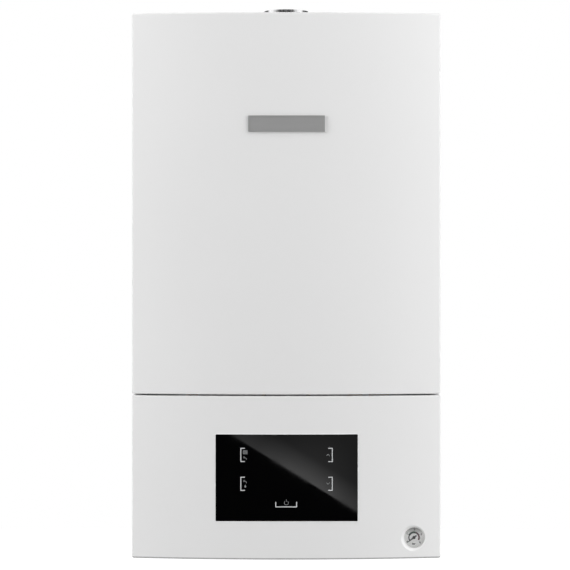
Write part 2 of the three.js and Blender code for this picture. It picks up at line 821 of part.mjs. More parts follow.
// Main circuit board with transformer, relays, capacitors, heat sink and plug rows.
function mainBoard() {
  const face = boxFrontDepth - boxWall - boardPost - clearance;
  const back = face - boardThickness;
  const inset = boxWall + boardMargin;
  const board = block(boxLeft + inset, boxRight - inset, back, face, boxBottom + inset, boxTop - inset);
  const raised = (x, z, width, height, tall) =>
    block(x - width / 2, x + width / 2, back - tall, back + 0.5, z - height / 2, z + height / 2);
  const transformer = join(raised(-132, 120, 46, 38, 30), raised(-132, 120, 34, 46, 24));
  const relays = [0, 1, 2, 3].map((i) => raised(-78 + 24 * i, 136, 18, 14, 16));
  const capacitors = [0, 1, 2].map((i) =>
    rodBack(6 - i, -84 + 20 * i, 104, back - 20 + 4 * i, back + 0.5, smallSides),
  );
  const chips = [raised(20, 104, 22, 22, 3), raised(60, 118, 16, 10, 3)];
  const plugs = [0, 1, 2, 3, 4, 5].map((i) => raised(-140 + 40 * i, 44, 26 - 2 * (i % 3), 12, 13));
  const sink = join(
    raised(104, 136, 30, 24, 4), ...[0, 1, 2, 3].map((i) => raised(93 + 7.5 * i, 136, 2.5, 24, 20)),
  );
  return join(board, transformer, ...relays, ...capacitors, ...chips, ...plugs, sink);
}

// Round gauge case with a dial well, a rim and a spindle bore.
function gaugeCase() {
  const back = gaugeFaceDepth - gaugeLength;
  const dial = gaugeFaceDepth - gaugeWell;
  const well = gaugeDialRadius;
  const neck = 5;
  return turnedBack(
    [[0, back - 8], [neck, back - 8], [neck, back], [gaugeCaseRadius, back],
      [gaugeCaseRadius, gaugeFaceDepth - 0.8], [gaugeCaseRadius - 0.8, gaugeFaceDepth],
      [well, gaugeFaceDepth], [well, dial], [spindleRadius + clearance, dial],
      [spindleRadius + clearance, dial - 6], [0, dial - 6]],
    gaugeX, gaugeHeight, largeSides,
  );
}

function gaugeLens() {
  const front = gaugeFaceDepth - 0.5;
  return turnedBack(
    [[0, front - gaugeLensThickness], [gaugeDialRadius - 0.15, front - gaugeLensThickness],
      [gaugeDialRadius - 0.15, front], [0, front]],
    gaugeX, gaugeHeight, largeSides,
  );
}

// Pointer with a short tail, drawn about its spindle and pointing along +X.
function gaugeNeedle() {
  const blade = [
    [needleLength, 0.3], [1, 1.1], [-needleTail, 0.9], [-needleTail, -0.9], [1, -1.1], [needleLength, -0.3],
  ];
  const face = gaugeFaceDepth - gaugeWell + clearance;
  return join(
    prismBack(blade, face, face + 0.5),
    rodBack(2.1, 0, 0, face, face + 0.7, smallSides),
    rodBack(spindleRadius, 0, 0, face - 5, face + 0.1, smallSides),
  );
}

// Sheet-metal chamber around burner and fan: open in front, with a flange for its cover.
function airChamber() {
  const half = chamberWidth / 2;
  const outer = block(-half, half, chamberBackDepth, chamberFrontDepth, chamberBottom, chamberTop);
  const inner = block(
    -half + sheet, half - sheet, chamberBackDepth + sheet, chamberFrontDepth + 1,
    chamberBottom + sheet, chamberTop - sheet,
  );
  const flangeBack = chamberFrontDepth - sheet;
  const flange = block(
    -half - chamberFlange, half + chamberFlange, flangeBack, chamberFrontDepth,
    chamberBottom - chamberFlange, chamberTop,
  );
  const mouth = block(
    -half + sheet, half - sheet, flangeBack - 1, chamberFrontDepth + 1, chamberBottom + sheet, chamberTop - sheet,
  );
  const airHole = rodUp(airHoleRadius, 0, flueDepth, chamberTop - 3, chamberTop + 1, largeSides);
  const portHole = rodUp(airPortHole, airPortOffset, flueDepth, chamberTop - 3, chamberTop + 1, mediumSides);
  const floorHoles = [
    rodUp(pipeRadius + 1, flowX, stubDepth, chamberBottom - 1, chamberBottom + 3, mediumSides),
    rodUp(pipeRadius + 1, returnX, stubDepth, chamberBottom - 1, chamberBottom + 3, mediumSides),
    rodUp(smallPipeRadius + 1, 0, manifoldDepth, chamberBottom - 1, chamberBottom + 3, mediumSides),
  ];
  return cut(join(cut(outer, inner), cut(flange, mouth)), airHole, portHole, ...floorHoles);
}

// Cover plate of the chamber, with two pressed ribs and a round sight hole.
function chamberCover() {
  const half = chamberWidth / 2 + chamberFlange;
  const back = chamberFrontDepth + clearance;
  const front = back + coverPlate;
  const plate = block(-half, half, back, front, chamberBottom - chamberFlange, chamberTop);
  const ribs = [440, 560].map((z) => prismBack(roundedBox(ribWidth, 24, 10, 0, z), front - 0.2, front + ribHeight));
  const hollows = [440, 560].map((z) =>
    prismBack(
      roundedBox(ribWidth - 2 * coverPlate, 24 - 2 * coverPlate, 9, 0, z), back - 1, front + ribHeight - coverPlate,
    ),
  );
  const hole = rodBack(windowRadius - 3, windowX, windowHeight, back - 1, front + 1, mediumSides);
  return cut(join(plate, ...ribs), ...hollows, hole);
}

// Sight glass in its ring, over the hole in the chamber cover.
function sightGlass() {
  const back = chamberFrontDepth + 2 * clearance + coverPlate;
  return turnedBack(
    [[0, back], [windowRadius, back], [windowRadius, back + 2], [windowRadius - 2, back + 2.6],
      [windowRadius - 3.5, back + 2.6], [windowRadius - 4, back + 1.4], [0, back + 1.4]],
    windowX, windowHeight, mediumSides,
  );
}

// Ring on the top plate that centres the air pipe around the flue.
function flueCollar() {
  const base = topPlateHeight + sheet + clearance;
  const wall = airHoleRadius + sheet;
  return turnedUp(
    [[airHoleRadius, base], [collarRadius, base], [collarRadius, base + 1.6], [wall + 2, base + 1.6],
      [wall, base + 3.6], [wall, base + collarUpstand], [airHoleRadius, base + collarUpstand],
      [airHoleRadius, base]],
    0, flueDepth, largeSides,
  );
}

// Blanking cover of the second air port.
function airPortCover() {
  const base = topPlateHeight + sheet + clearance;
  return turnedUp(
    [[0, base], [airPortRadius, base], [airPortRadius, base + 1.6], [airPortHole, base + 1.6],
      [airPortHole - 3, base + 5], [0, base + 5]],
    airPortOffset, flueDepth, largeSides,
  );
}

// Flue pipe with a rolled bead and a square foot on the fan's outlet.
function flueSpigot() {
  const foot = fanOutletHeight + clearance;
  const top = casingHeight + flueRise;
  const half = fanOutletWidth / 2;
  const plate = block(
    -half - fanFootLip, half + fanFootLip, fanBackDepth, fanFrontDepth, foot, foot + fanFootThickness,
  );
  const plateHole = rodUp(fanWidth / 2 - 3, 0, flueDepth, foot - 1, foot + 4, largeSides);
  const neck = foot + fanFootThickness;
  const inner = flueRadius - flueWall;
  const tube = turnedUp(
    [[fanWidth / 2 - 3, neck - 0.2], [fanWidth / 2 - 1, neck - 0.2], [flueRadius, neck + flueFlare],
      [flueRadius, top], [inner, top], [inner, neck + flueFlare + 1],
      [fanWidth / 2 - 3, neck - 0.2]],
    0, flueDepth, largeSides,
  );
  return join(cut(plate, plateHole), tube);
}

// Outline of the fan's scroll with its upward outlet, drawn in by inset.
function scroll(inset, top) {
  const edge = -fanOutletWidth / 2 + inset;
  const start = Math.acos((edge - fanX) / (scrollStart - inset));
  const steps = 15;
  const spiral = Array.from({ length: steps + 1 }, (_, i) => {
    const angle = start + ((2 * Math.PI - start) * i) / steps;
    const radius = scrollStart + (scrollGrowth * i) / steps - inset;
    return [fanX + radius * Math.cos(angle), fanHeight + radius * Math.sin(angle)];
  });
  return [...spiral, [-edge, top], [edge, top]];
}

function fanHousing() {
  const lip = fanOutletWidth / 2 + fanFootLip;
  const body = prismBack(scroll(0, fanOutletHeight), fanBackDepth, fanFrontDepth);
  const flange = block(-lip, lip, fanBackDepth, fanFrontDepth, fanOutletHeight - 3, fanOutletHeight);
  const hollow = prismBack(scroll(fanWall, fanOutletHeight + 1), fanBackDepth + fanWall, fanFrontDepth - fanWall);
  const inlet = rodBack(fanInletRadius, fanX, fanHeight, fanBackDepth - 1, fanBackDepth + 4, largeSides);
  const motorHole = rodBack(
    impellerHubRadius + 5, fanX, fanHeight, fanFrontDepth - 4, fanFrontDepth + 1, mediumSides,
  );
  const rims = [-1, 1].map((side) => {
    const at = side < 0 ? fanBackDepth : fanFrontDepth - fanWall;
    return prismBack(scroll(-3, fanOutletHeight), at, at + fanWall);
  });
  return cut(join(body, flange, ...rims), hollow, inlet, motorHole);
}

// Fan wheel on its shaft, drawn about its own axis.
function fanImpeller() {
  const front = fanFrontDepth - fanWall - 4;
  const back = front - impellerWidth;
  const inner = impellerRadius - impellerBladeDepth;
  const disc = turned(
    [[0, front - 1.6], [impellerRadius, front - 1.6], [impellerRadius, front], [0, front]], largeSides,
  );
  const ring = turned(
    [[inner, back], [impellerRadius, back], [impellerRadius, back + 1.6], [inner, back + 1.6], [inner, back]],
    largeSides,
  );
  const hub = turned(
    [[0, front - 14], [impellerHubRadius - 2, front - 14], [impellerHubRadius, front - 12],
      [impellerHubRadius + 2, front - 1], [0, front - 1]],
    mediumSides,
  );
  const shaft = turned(
    [[0, front - 2], [fanShaftRadius, front - 2], [fanShaftRadius, front + 22], [0, front + 22]], smallSides,
  );
  const wheel = join(disc, ring, hub, shaft).rotate([90, 0, 0]);
  const blades = Array.from({ length: impellerBlades }, (_, i) => {
    const blade = block(inner + 0.4, impellerRadius - 0.4, back + 1, front - 1, -0.8, 0.8);
    const middle = impellerRadius - impellerBladeDepth / 2;
    return blade.translate([-middle, 0, 0]).rotate([0, 32, 0]).translate([middle, 0, 0])
      .rotate([0, (360 * i) / impellerBlades, 0]);
  });
  return join(wheel, ...blades);
}

// Motor on the fan's front wall, with a flange, a ribbed can and a plug.
function fanMotor() {
  const back = fanFrontDepth + clearance;
  const front = back + motorLength;
  const can = motorRadius;
  const body = turnedBack(
    [[0, back], [can + 7, back], [can + 7, back + motorFlange], [can, back + motorFlange], [can, back + 20],
      [can - 2, back + 21], [can - 2, front - 6], [can - 7, front], [0, front]],
    fanX, fanHeight, largeSides,
  );
  const plug = block(fanX - 12, fanX + 12, back + 24, back + 40, fanHeight - can - 8, fanHeight - can + 4);
  const bore = rodBack(fanShaftRadius + clearance, fanX, fanHeight, back - 1, back + 20, smallSides);
  return cut(join(body, plug), bore);
}

// Sheet hood over the heat exchanger that leads the flue gas up behind the fan.
function hoodForm(inset, bottom) {
  const back = chamberBackDepth + sheet + clearance + inset;
  const riserFront = fanBackDepth - clearance - inset;
  const half = coreWidth / 2 - inset;
  const top = coreTop + clearance + hoodRearHeight;
  const base = prismAcross(
    [[coreBack + inset, bottom], [coreFront - inset, bottom], [coreFront - inset, hoodTop - 10 - inset],
      [riserFront + 2 * sheet, hoodTop - inset], [riserFront, hoodTop + 4], [riserFront, top - inset],
      [back, top - inset], [back, hoodTop], [coreBack + inset, hoodTop - 16]],
    -half, half,
  );
  const side = hoodRiserHalf - inset;
  const riser = prismBack(
    [[fanX - side, top - 14], [half - 60, top - 14], [half - 60, top - inset], [fanX + side, fanHeight - 16],
      [fanX + side, hoodRiserTop - 14], [fanX + side - 14, hoodRiserTop - inset],
      [fanX - side + 14, hoodRiserTop - inset], [fanX - side, hoodRiserTop - 14]],
    back, riserFront,
  );
  return join(base, riser);
}

function flueHood() {
  const bottom = coreTop + clearance;
  const port = rodBack(fanInletRadius - 1, fanX, fanHeight, fanBackDepth - 6, fanBackDepth + 1, largeSides);
  return cut(hoodForm(0, bottom), hoodForm(sheet, bottom - 1), port);
}

// Finned heat exchanger: thin fins on flattened tubes, joined outside by return bends.
function heatExchanger() {
  const half = coreWidth / 2;
  const pitch = coreDepth / tubeCount;
  const middle = exchangerMiddle;
  const depths = Array.from({ length: tubeCount }, (_, i) => coreBack + pitch * (i + 0.5));
  const step = (coreWidth - 2 * finThickness) / (finCount - 1);
  const fins = Array.from({ length: finCount }, (_, i) => {
    const x = -half + finThickness + step * i;
    return block(
      x - finThickness / 2, x + finThickness / 2, coreBack + 1, coreFront - 1, coreBottom + 3, coreTop - 3,
    );
  });
  const ends = [-half, half - 2 * finThickness].map((x) =>
    block(x, x + 2 * finThickness, coreBack, coreFront, coreBottom, coreTop),
  );
  const walls = [coreBack, coreFront - finThickness].map((depth) =>
    block(-half, half, depth, depth + finThickness, coreBottom, coreTop),
  );
  const [wide, tall] = [tubeWidth / 2, tubeHeight / 2];
  const tube = (depth, inset) => block(
    -half - 1 + inset, half + 1 - inset, depth - wide + inset, depth + wide - inset,
    middle - tall + inset, middle + tall - inset,
  );
  const bendTall = tall - 5;
  const bends = depths.slice(1).map((depth, i) => {
    const side = i % 2 ? 1 : -1;
    const from = depths[i];
    const bend = prismUp(
      [[half - 1, -(from - wide)], [half - 1, -(depth + wide)], [half + bendReach / 2, -(depth + wide)],
        [half + bendReach, -(depth - 2)], [half + bendReach, -(from + 2)], [half + bendReach / 2, -(from - wide)]],
      middle - bendTall, middle + bendTall,
    );
    return side > 0 ? bend : bend.mirror([1, 0, 0]);
  });
  const waterways = depths.slice(1).flatMap((depth, i) => {
    const side = i % 2 ? 1 : -1;
    const from = depths[i];
    const low = middle - bendTall + tubeWall;
    const high = middle + bendTall - tubeWall;
    const turn = [half + tubeWall + 1, half + bendReach / 2];
    return [
      sideBlock(side, ...turn, from - wide + tubeWall, depth + wide - tubeWall, low, high),
      sideBlock(side, half - 2, turn[1], from - wide + tubeWall, from + wide - tubeWall, low, high),
      sideBlock(side, half - 2, turn[1], depth - wide + tubeWall, depth + wide - tubeWall, low, high),
    ];
  });
  const bore = pipeRadius - tubeWall;
  const inlet = (radius, reach) => rodAcross(radius, depths[0], middle, half - 4, half + reach, smallSides);
  const outlet = (radius, reach) => rodAcross(radius, depths.at(-1), middle, -half - reach, 4 - half, smallSides);
  const metal = join(
    ...ends, ...walls, ...depths.map((depth) => tube(depth, 0)), ...fins, ...bends,
    inlet(pipeRadius, exchangerStub), outlet(pipeRadius, exchangerStub),
  );
  return cut(
    metal, ...depths.map((depth) => tube(depth, tubeWall)), ...waterways,
    inlet(bore, exchangerStub + 1), outlet(bore, exchangerStub + 1),
  );
}

// Insulated box between burner and heat exchanger, open above and below.
function combustionBox() {
  const half = coreWidth / 2;
  const top = coreBottom - clearance;
  const shell = block(-half, half, coreBack, coreFront, combustionBottom, top);
  const inside = combustionWall;
  const hollow = block(
    -half + inside, half - inside, coreBack + inside, coreFront - inside, combustionBottom - 1, top + 1,
  );
  const ribs = [-60, 0, 60].map((x) =>
    block(x - 5, x + 5, coreFront - 1, coreFront + 3, combustionBottom + 8, top - 8),
  );
  return cut(join(shell, ...ribs), hollow);
}

// Row of burner bars between two end plates that stand on the chamber's floor.
function burner() {
  const half = coreWidth / 2;
  const back = coreCentreDepth - burnerDepth / 2;
  const front = coreCentreDepth + burnerDepth / 2;
  const wide = burnerBarWidth / 2;
  const [low, high] = [burnerBottom, burnerTop];
  const bars = Array.from({ length: burnerBars }, (_, i) => {
    const x = burnerBarPitch * (i - (burnerBars - 1) / 2);
    return prismBack(
      [[x - wide, low + 3], [x - wide + 2, low], [x + wide - 2, low], [x + wide, low + 3], [x + wide, low + 16],
        [x + wide - 2, low + 20], [x + wide - 2, high], [x - wide + 2, high], [x - wide + 2, low + 20],
        [x - wide, low + 16]],
      back, front,
    );
  });
  const ends = [-1, 1].map((side) => {
    const x = side * (half - 2);
    return block(x - 2, x + 2, back - 6, front + 6, chamberFloor + clearance, high);
  });
  const rails = [back + 4, front - 20].map((depth) =>
    block(-half + 1, half - 1, depth, depth + 6, low + 8, low + 14),
  );
  return join(...bars, ...ends, ...rails);
}

// Gas manifold with one injector before each burner bar.
function gasManifold() {
  const half = coreWidth / 2;
  const front = coreCentreDepth + burnerDepth / 2;
  const tube = rodAcross(manifoldRadius, manifoldDepth, injectorHeight, -half + 6, half - 6, smallSides);
  const injectors = Array.from({ length: burnerBars }, (_, i) => {
    const x = burnerBarPitch * (i - (burnerBars - 1) / 2);
    return rodBack(injectorRadius, x, injectorHeight, front + 1, manifoldDepth, 6);
  });
  const ears = [-1, 1].map((side) => {
    return sideBlock(
      side, half - 9, half, front + 6 + clearance, manifoldDepth + 4, injectorHeight - 7, injectorHeight + 7,
    );
  });
  const inlet = rodUp(smallPipeRadius, 0, manifoldDepth, injectorHeight - 18, injectorHeight, smallSides);
  return join(tube, ...injectors, ...ears, inlet);
}

// Ignition and flame-sensing electrodes in one holder over the front of the burner.
function electrodeBlock() {
  const front = coreFront + clearance;
  const z = combustionBottom + 26;
  const holder = block(66 + 8, 66 + 34, front, front + 7, z - 9, z + 9);
  const pins = [0, 1].map((i) => rodBack(2.4, 82 + 9 * i, z, front + 1, front + 12, 8));
  return join(holder, ...pins);
}

// Threaded connection: a bored tail that ends below the casing, with a hexagon nut above the pipe plate.
function connection(stub, top) {
  const tail = rodUp(stub.radius, stub.x, stubDepth, -stubDrop, top, stubSides);
  const nut = rodUp(
    stub.radius + 4, stub.x, stubDepth, pipePlateHeight + clearance, pipePlateHeight + nutHeight, 6,
  );
  const bore = rodUp(stub.radius - 3.5, stub.x, stubDepth, -stubDrop - 1, top - 6, smallSides);
  return { form: join(tail, nut), bore };
}

// Port block that carries one end of the plate exchanger on its front face.
function portBlock(side) {
  const near = portBlockX - portBlockWidth / 2;
  const back = plateFrontDepth + clearance;
  return sideBlock(
    side, near, near + portBlockWidth, back, back + portBlockDepth,
    blockBottom + 24, plateBottom + plateHeight,
  );
}

// Chamber inside a hydraulic block, reached from its connection's bore.
const blockHollow = (x, top) =>
  prismUp(
    roundedBox(blockWidth - 2 * blockWall, blockThickness - 2 * blockWall, 4, x, -stubDepth),
    blockBottom + blockWall, top - blockWall,
  );

// Left-hand block: heating flow connection, diverter body and plate exchanger ports.
function flowBlock() {
  const { form, bore } = connection(stubs[0], blockBottom + blockWall + 7);
  const top = actuatorHeight + 22;
  const front = stubDepth + blockThickness / 2;
  const back = stubDepth - blockThickness / 2;
  const x = flowX;
  const body = prismUp(
    roundedBox(blockWidth, blockThickness, 8, x, -stubDepth), blockBottom, top,
  );
  const neck = rodUp(pipeRadius + 4, x, stubDepth, actuatorHeight + 20, actuatorHeight + 32, smallSides);
  const arms = [blockBottom + 24, plateBottom + plateHeight - 22].map((z) =>
    block(x + blockWidth / 2 - 4, -portBlockX, back + 12, front - 4, z, z + 22),
  );
  const diverterSeat = rodBack(15, actuatorX, actuatorHeight, front - 2, front + 8, mediumSides);
  return cut(join(form, body, neck, ...arms, portBlock(-1), diverterSeat), bore, blockHollow(x, top));
}

// Right-hand block: heating return connection, safety valve seat and plate exchanger ports.
function returnBlock() {
  const { form, bore } = connection(stubs[4], blockBottom + blockWall + 7);
  const front = stubDepth + blockThickness / 2;
  const back = stubDepth - blockThickness / 2;
  const body = prismUp(roundedBox(blockWidth, blockThickness, 8, returnX, -stubDepth), blockBottom, blockTop);
  const arm = block(portBlockX, returnX - blockWidth / 2 + 4, back + 12, front - 4, blockBottom + 24, blockTop);
  const seat = rodBack(13, returnX, safetyHeight, front - 2, front + 6, mediumSides);
  return cut(join(form, body, arm, portBlock(1), seat), bore, blockHollow(returnX, blockTop));
}

// Pump casing: a round volute with a neck below, a neck above and a boss for the vessel's pipe.
function pumpHousing() {
  const volute = turnedBack(
    [[0, pumpBackDepth + 4], [pumpCasingRadius - 10, pumpBackDepth + 4],
      [pumpCasingRadius, pumpBackDepth + 16], [pumpCasingRadius, pumpFrontDepth - 7],
      [pumpCasingRadius + 3, pumpFrontDepth - 5], [pumpCasingRadius + 3, pumpFrontDepth],
      [0, pumpFrontDepth]],
    pumpX, pumpHeight, largeSides,
  );
  const chamber = rodBack(rotorRadius + 4, pumpX, pumpHeight, pumpFrontDepth - 26, pumpFrontDepth + 1, largeSides);
  const inlet = rodUp(pumpNeckRadius, pumpX, pumpNeckDepth, blockTop + clearance, pumpHeight - 30, mediumSides);
  const outlet = rodUp(
    pumpNeckRadius, returnX, stubDepth - 14, pumpHeight + 20, pumpTop - clearance, mediumSides,
  );
  const ventBoss = rodUp(ventRadius - 1, ventX, ventDepth, pumpHeight + 10, pumpTop - 22, mediumSides);
  const vesselBoss = rodBack(11, pumpX, pumpHeight, pumpBackDepth - 28, pumpBackDepth + 9, mediumSides);
  return cut(join(volute, inlet, outlet, ventBoss, vesselBoss), chamber);
}

// Round pump motor with a cooling-fin barrel, a terminal box and a bore for the rotor's shaft.
function pumpMotor() {
  const back = pumpFrontDepth + clearance;
  const front = back + pumpMotorLength;
  const r = pumpMotorRadius;
  const body = turnedBack(
    [[0, back], [r - 2, back], [r - 2, back + 7], [r - 7, back + 9], [r - 7, back + 26], [r, back + 30],
      [r, front - 12], [r - 8, front], [10, front], [10, front + 1.5], [0, front + 1.5]],
    pumpX, pumpHeight, largeSides,
  );
  const box = prismBack(roundedBox(46, 22, 3, pumpX, pumpHeight + r + 4), back + 30, front - 12);
  const bore = rodBack(rotorShaftRadius + clearance, pumpX, pumpHeight, back - 1, back + 30, smallSides);
  return cut(join(body, box), bore);
}

// Pump wheel with its shaft, drawn about its own axis.
function pumpRotor() {
  const back = pumpFrontDepth - 24;
  const front = pumpFrontDepth - 4;
  const disc = turned(
    [[0, front - 3], [rotorRadius, front - 3], [rotorRadius, front], [rotorShaftRadius + 3, front],
      [rotorShaftRadius, front + 1], [rotorShaftRadius, front + 28], [0, front + 28]],
    mediumSides,
  ).rotate([90, 0, 0]);
  const vanes = Array.from({ length: 6 }, (_, i) =>
    block(6, rotorRadius - 1, back + 4, front - 1, -1, 1).translate([0, 0, 3]).rotate([0, 60 * i, 0]),
  );
  const hub = turned([[0, back + 2], [8, back + 2], [8, front - 1], [0, front - 1]], smallSides).rotate([90, 0, 0]);
  return join(disc, hub, ...vanes);
}

// Float-type air vent on the pump casing, open at the top for its cap's pin.
function airVent() {
  const base = pumpTop - 22 + clearance;
  const top = base + ventHeight;
  return turnedUp(
    [[0, base], [6, base], [6, base + 4], [ventRadius, base + 6], [ventRadius, top - 6], [ventRadius - 5, top],
      [2.4, top], [2.4, top - 8], [0, top - 8]],
    ventX, ventDepth, mediumSides,
  );
}

function airVentCap() {
  return turned([[0, -6], [2, -6], [2, 0], [5.4, 0], [6, 0.6], [6, 6.4], [5, 7.4], [0, 7.4]], 10);
}

// Stack of pressed plates between two end plates, with a space inside and four ports in front.
function plateHeatExchanger() {
  const back = plateFrontDepth - plateThickness;
  const pitch = plateThickness / plateCount;
  const height = plateHeight;
  const centre = plateBottom + height / 2;
  const plates = Array.from({ length: plateCount }, (_, i) => {
    const inset = i % 2 ? 2 : 0;
    return prismBack(
      roundedBox(plateWidth - 2 * inset, height - 2 * inset, 12, 0, centre, 2),
      back + i * pitch, back + (i + 1) * pitch,
    );
  });
  const inside = 2 * plateWall;
  const hollow = prismBack(
    roundedBox(plateWidth - 2 * inside, height - 2 * inside, 8, 0, centre, 2),
    back + plateWall, plateFrontDepth - plateWall,
  );
  const ports = [-1, 1].flatMap((side) =>
    [-1, 1].map((level) =>
      rodBack(
        portRadius, side * portBlockX, centre + level * portRise,
        plateFrontDepth - 6, plateFrontDepth + 1, smallSides,
      ),
    ),
  );
  return cut(join(...plates), hollow, ...ports);
}

// Motor drive of the diverter valve.
function diverterActuator() {
  const back = stubDepth + blockThickness / 2 + 8 + clearance;
  const x = actuatorX;
  const neck = turnedBack(
    [[0, back], [17, back], [17, back + 7], [14, back + 9], [0, back + 9]], x, actuatorHeight, mediumSides,
  );
  const body = prismBack(roundedBox(34, 56, 6, x, actuatorHeight + 4), back + 8, back + 38);
  const plug = block(x - 9, x + 9, back + 14, back + 32, actuatorHeight - 34, actuatorHeight - 20);
  return join(neck, body, plug);
}

// Safety valve on the return block, with a bore for its knob's pin.
function safetyValve() {
  const back = stubDepth + blockThickness / 2 + 6 + clearance;
  const front = back + 24;
  const body = turnedBack(
    [[0, back], [12, back], [12, back + 9], [9.5, back + 11], [9.5, front], [3.4, front],
      [3.4, front - 10], [0, front - 10]],
    returnX, safetyHeight, mediumSides,
  );
  const outlet = rodUp(6, returnX, back + 6.5, safetyHeight - 22, safetyHeight - 6, smallSides);
  return join(body, outlet);
}

// Grooved cap of the safety valve, drawn about its own axis.
function safetyValveKnob() {
  const back = stubDepth + blockThickness / 2 + 6 + 24 + 2 * clearance;
  const front = back + safetyKnobLength;
  const body = turned(
    [[0, back - 8], [3, back - 8], [3, back], [safetyKnobRadius, back], [safetyKnobRadius, front - 3],
      [safetyKnobRadius - 3, front], [0, front]],
    mediumSides,
  ).rotate([90, 0, 0]);
  const grooves = Array.from({ length: 8 }, (_, i) =>
    rodBack(1.8, safetyKnobRadius + 0.6, 0, back - 1, front + 1, 8).rotate([0, 45 * i, 0]),
  );
  return cut(body, ...grooves);
}

// Filling valve under the return block's arm, with its spindle bore below.
function fillingValve() {
  const top = blockBottom + 24 - clearance;
  const low = pipePlateHeight + 3;
  return turnedUp(
    [[fillSpindleRadius + clearance, low], [8, low], [8, low + 10], [10.5, low + 12], [10.5, top - 5], [7, top],
      [0, top], [0, low + 20], [fillSpindleRadius + clearance, low + 20], [fillSpindleRadius + clearance, low]],
    fillX, stubDepth, mediumSides,
  );
}

// Knob of the filling valve, with its spindle, drawn about its own axis.
function fillingValveKnob() {
  const body = turned(
    [[0, 2], [fillKnobRadius - 2, 2], [fillKnobRadius, 4], [fillKnobRadius, 2 + fillKnobHeight - 2],
      [fillKnobRadius - 3, 2 + fillKnobHeight], [fillSpindleRadius, 2 + fillKnobHeight],
      [fillSpindleRadius, pipePlateHeight + 22], [0, pipePlateHeight + 22]],
    mediumSides,
  );
  const grooves = Array.from({ length: 6 }, (_, i) => {
    const angle = (Math.PI * i) / 3;
    const [x, depth] = [(fillKnobRadius + 1) * Math.cos(angle), (fillKnobRadius + 1) * Math.sin(angle)];
    return rodUp(2.6, x, depth, 1, 3 + fillKnobHeight, 8);
  });
  return cut(body, ...grooves);
}

// Gas valve: cast body with inlet and outlet necks, two coils and a regulator cap.
function gasValve() {
  const back = valveFrontDepth - valveDepth;
  const z = valveBottom;
  const body = prismBack(roundedBox(valveWidth, valveHeight, 6, 0, z + valveHeight / 2), back, valveFrontDepth);
  const inlet = rodUp(15, 0, stubDepth, z - 10, z + 2, 6);
  const outlet = rodUp(13, 0, gasOutletDepth, z + valveHeight - 2, z + valveHeight + 10, 6);
  const coils = [-1, 1].map((side) =>
    turnedBack(
      [[0, valveFrontDepth - 1], [coilRadius, valveFrontDepth - 1], [coilRadius, valveFrontDepth + coilLength - 2],
        [coilRadius - 2, valveFrontDepth + coilLength], [0, valveFrontDepth + coilLength]],
      side * 20, z + 60, mediumSides,
    ),
  );
  const cap = turnedBack(
    [[0, valveFrontDepth - 1], [16, valveFrontDepth - 1], [16, valveFrontDepth + 10], [8, valveFrontDepth + 12],
      [8, valveFrontDepth + 18], [0, valveFrontDepth + 18]],
    0, z + 24, mediumSides,
  );
  const plug = block(-26, 26, valveFrontDepth - 1, valveFrontDepth + 14, z + 78, z + 86);
  return join(body, inlet, outlet, ...coils, cap, plug);
}

// Hollow expansion vessel: two dished halves with a rolled seam and a neck below.
function expansionVessel() {
  const back = frameFront + clearance;
  const front = back + vesselThickness;
  const middle = (back + front) / 2;
  const r = vesselRadius;
  const dish = (inset) => [
    [0, back + inset], [r - 44, back + inset], [r - 12, back + 9 + inset], [r - inset, middle - 6],
    [r - inset, middle + 6], [r - 12, front - 9 - inset], [r - 44, front - inset], [0, front - inset],
  ];
  const outer = turnedBack(dish(0), 0, vesselHeight, largeSides);
  const seam = turnedBack(
    [[r - 1, middle - 3], [r + 3, middle - 3], [r + 3, middle + 3], [r - 1, middle + 3], [r - 1, middle - 3]],
    0, vesselHeight, largeSides,
  );
  const neckEnd = vesselHeight - r - vesselNeckLength;
  const neck = rodUp(vesselNeckRadius, 0, middle, neckEnd, vesselHeight - r + 6, mediumSides);
  const hollow = turnedBack(dish(vesselWall), 0, vesselHeight, largeSides);
  const bore = rodUp(vesselNeckBore, 0, middle, neckEnd - 1, vesselHeight - r + 20, smallSides);
  return cut(join(outer, seam, neck), hollow, bore);
}

// Round pressure switch on a bracket on the chamber's back wall, with two hose tails below.
function pressureSwitch() {
  const wall = chamberBackDepth + sheet + clearance;
  const { x, z } = switchPlace;
  const bracket = block(x - 12, x + 12, wall, wall + 26, z - 6, z + 6);
  const foot = block(x - 20, x + 20, wall, wall + 1.6, z - 16, z + 16);
  const can = turnedBack(
    [[0, wall + 24], [24, wall + 24], [28, wall + 27], [28, wall + 33], [24, wall + 36], [24, wall + 42],
      [10, wall + 46], [0, wall + 46]],
    x, z, mediumSides,
  );
  const tails = [-1, 1].map((side) =>
    rodUp(hoseRadius - 1, x + 9 * side, wall + hoseReach, z - 40, z - 20, smallSides),
  );
  return join(bracket, foot, can, ...tails);
}

// Thin hose between the pressure switch and the flue hood.
function pressureHose() {
  const { x, z } = switchPlace;
  const depth = chamberBackDepth + sheet + clearance + hoseReach;
  const start = [x - 9, depth, z - 40 - clearance];
  const end = coreWidth / 2 - 24;
  const run = hoodTop + 30;
  return pipe(
    [start, [x - 9, depth, run], [end, depth, run], [end, depth, hoodTop + clearance]], hoseRadius, 9, 8, 3,
  );
}

// Copper and gas pipes, each along straight runs and rounded bends.
const returnPipe = () =>
  pipe(
    [[returnX, stubDepth - 14, pumpTop], [returnX, stubDepth - 14, chamberBottom - returnJogDrop - returnJog],
      [returnX, stubDepth, chamberBottom - returnJogDrop], [returnX, stubDepth, exchangerMiddle],
      [coreWidth / 2 + exchangerStub + clearance, stubDepth, exchangerMiddle]],
    pipeRadius, 12,
  );

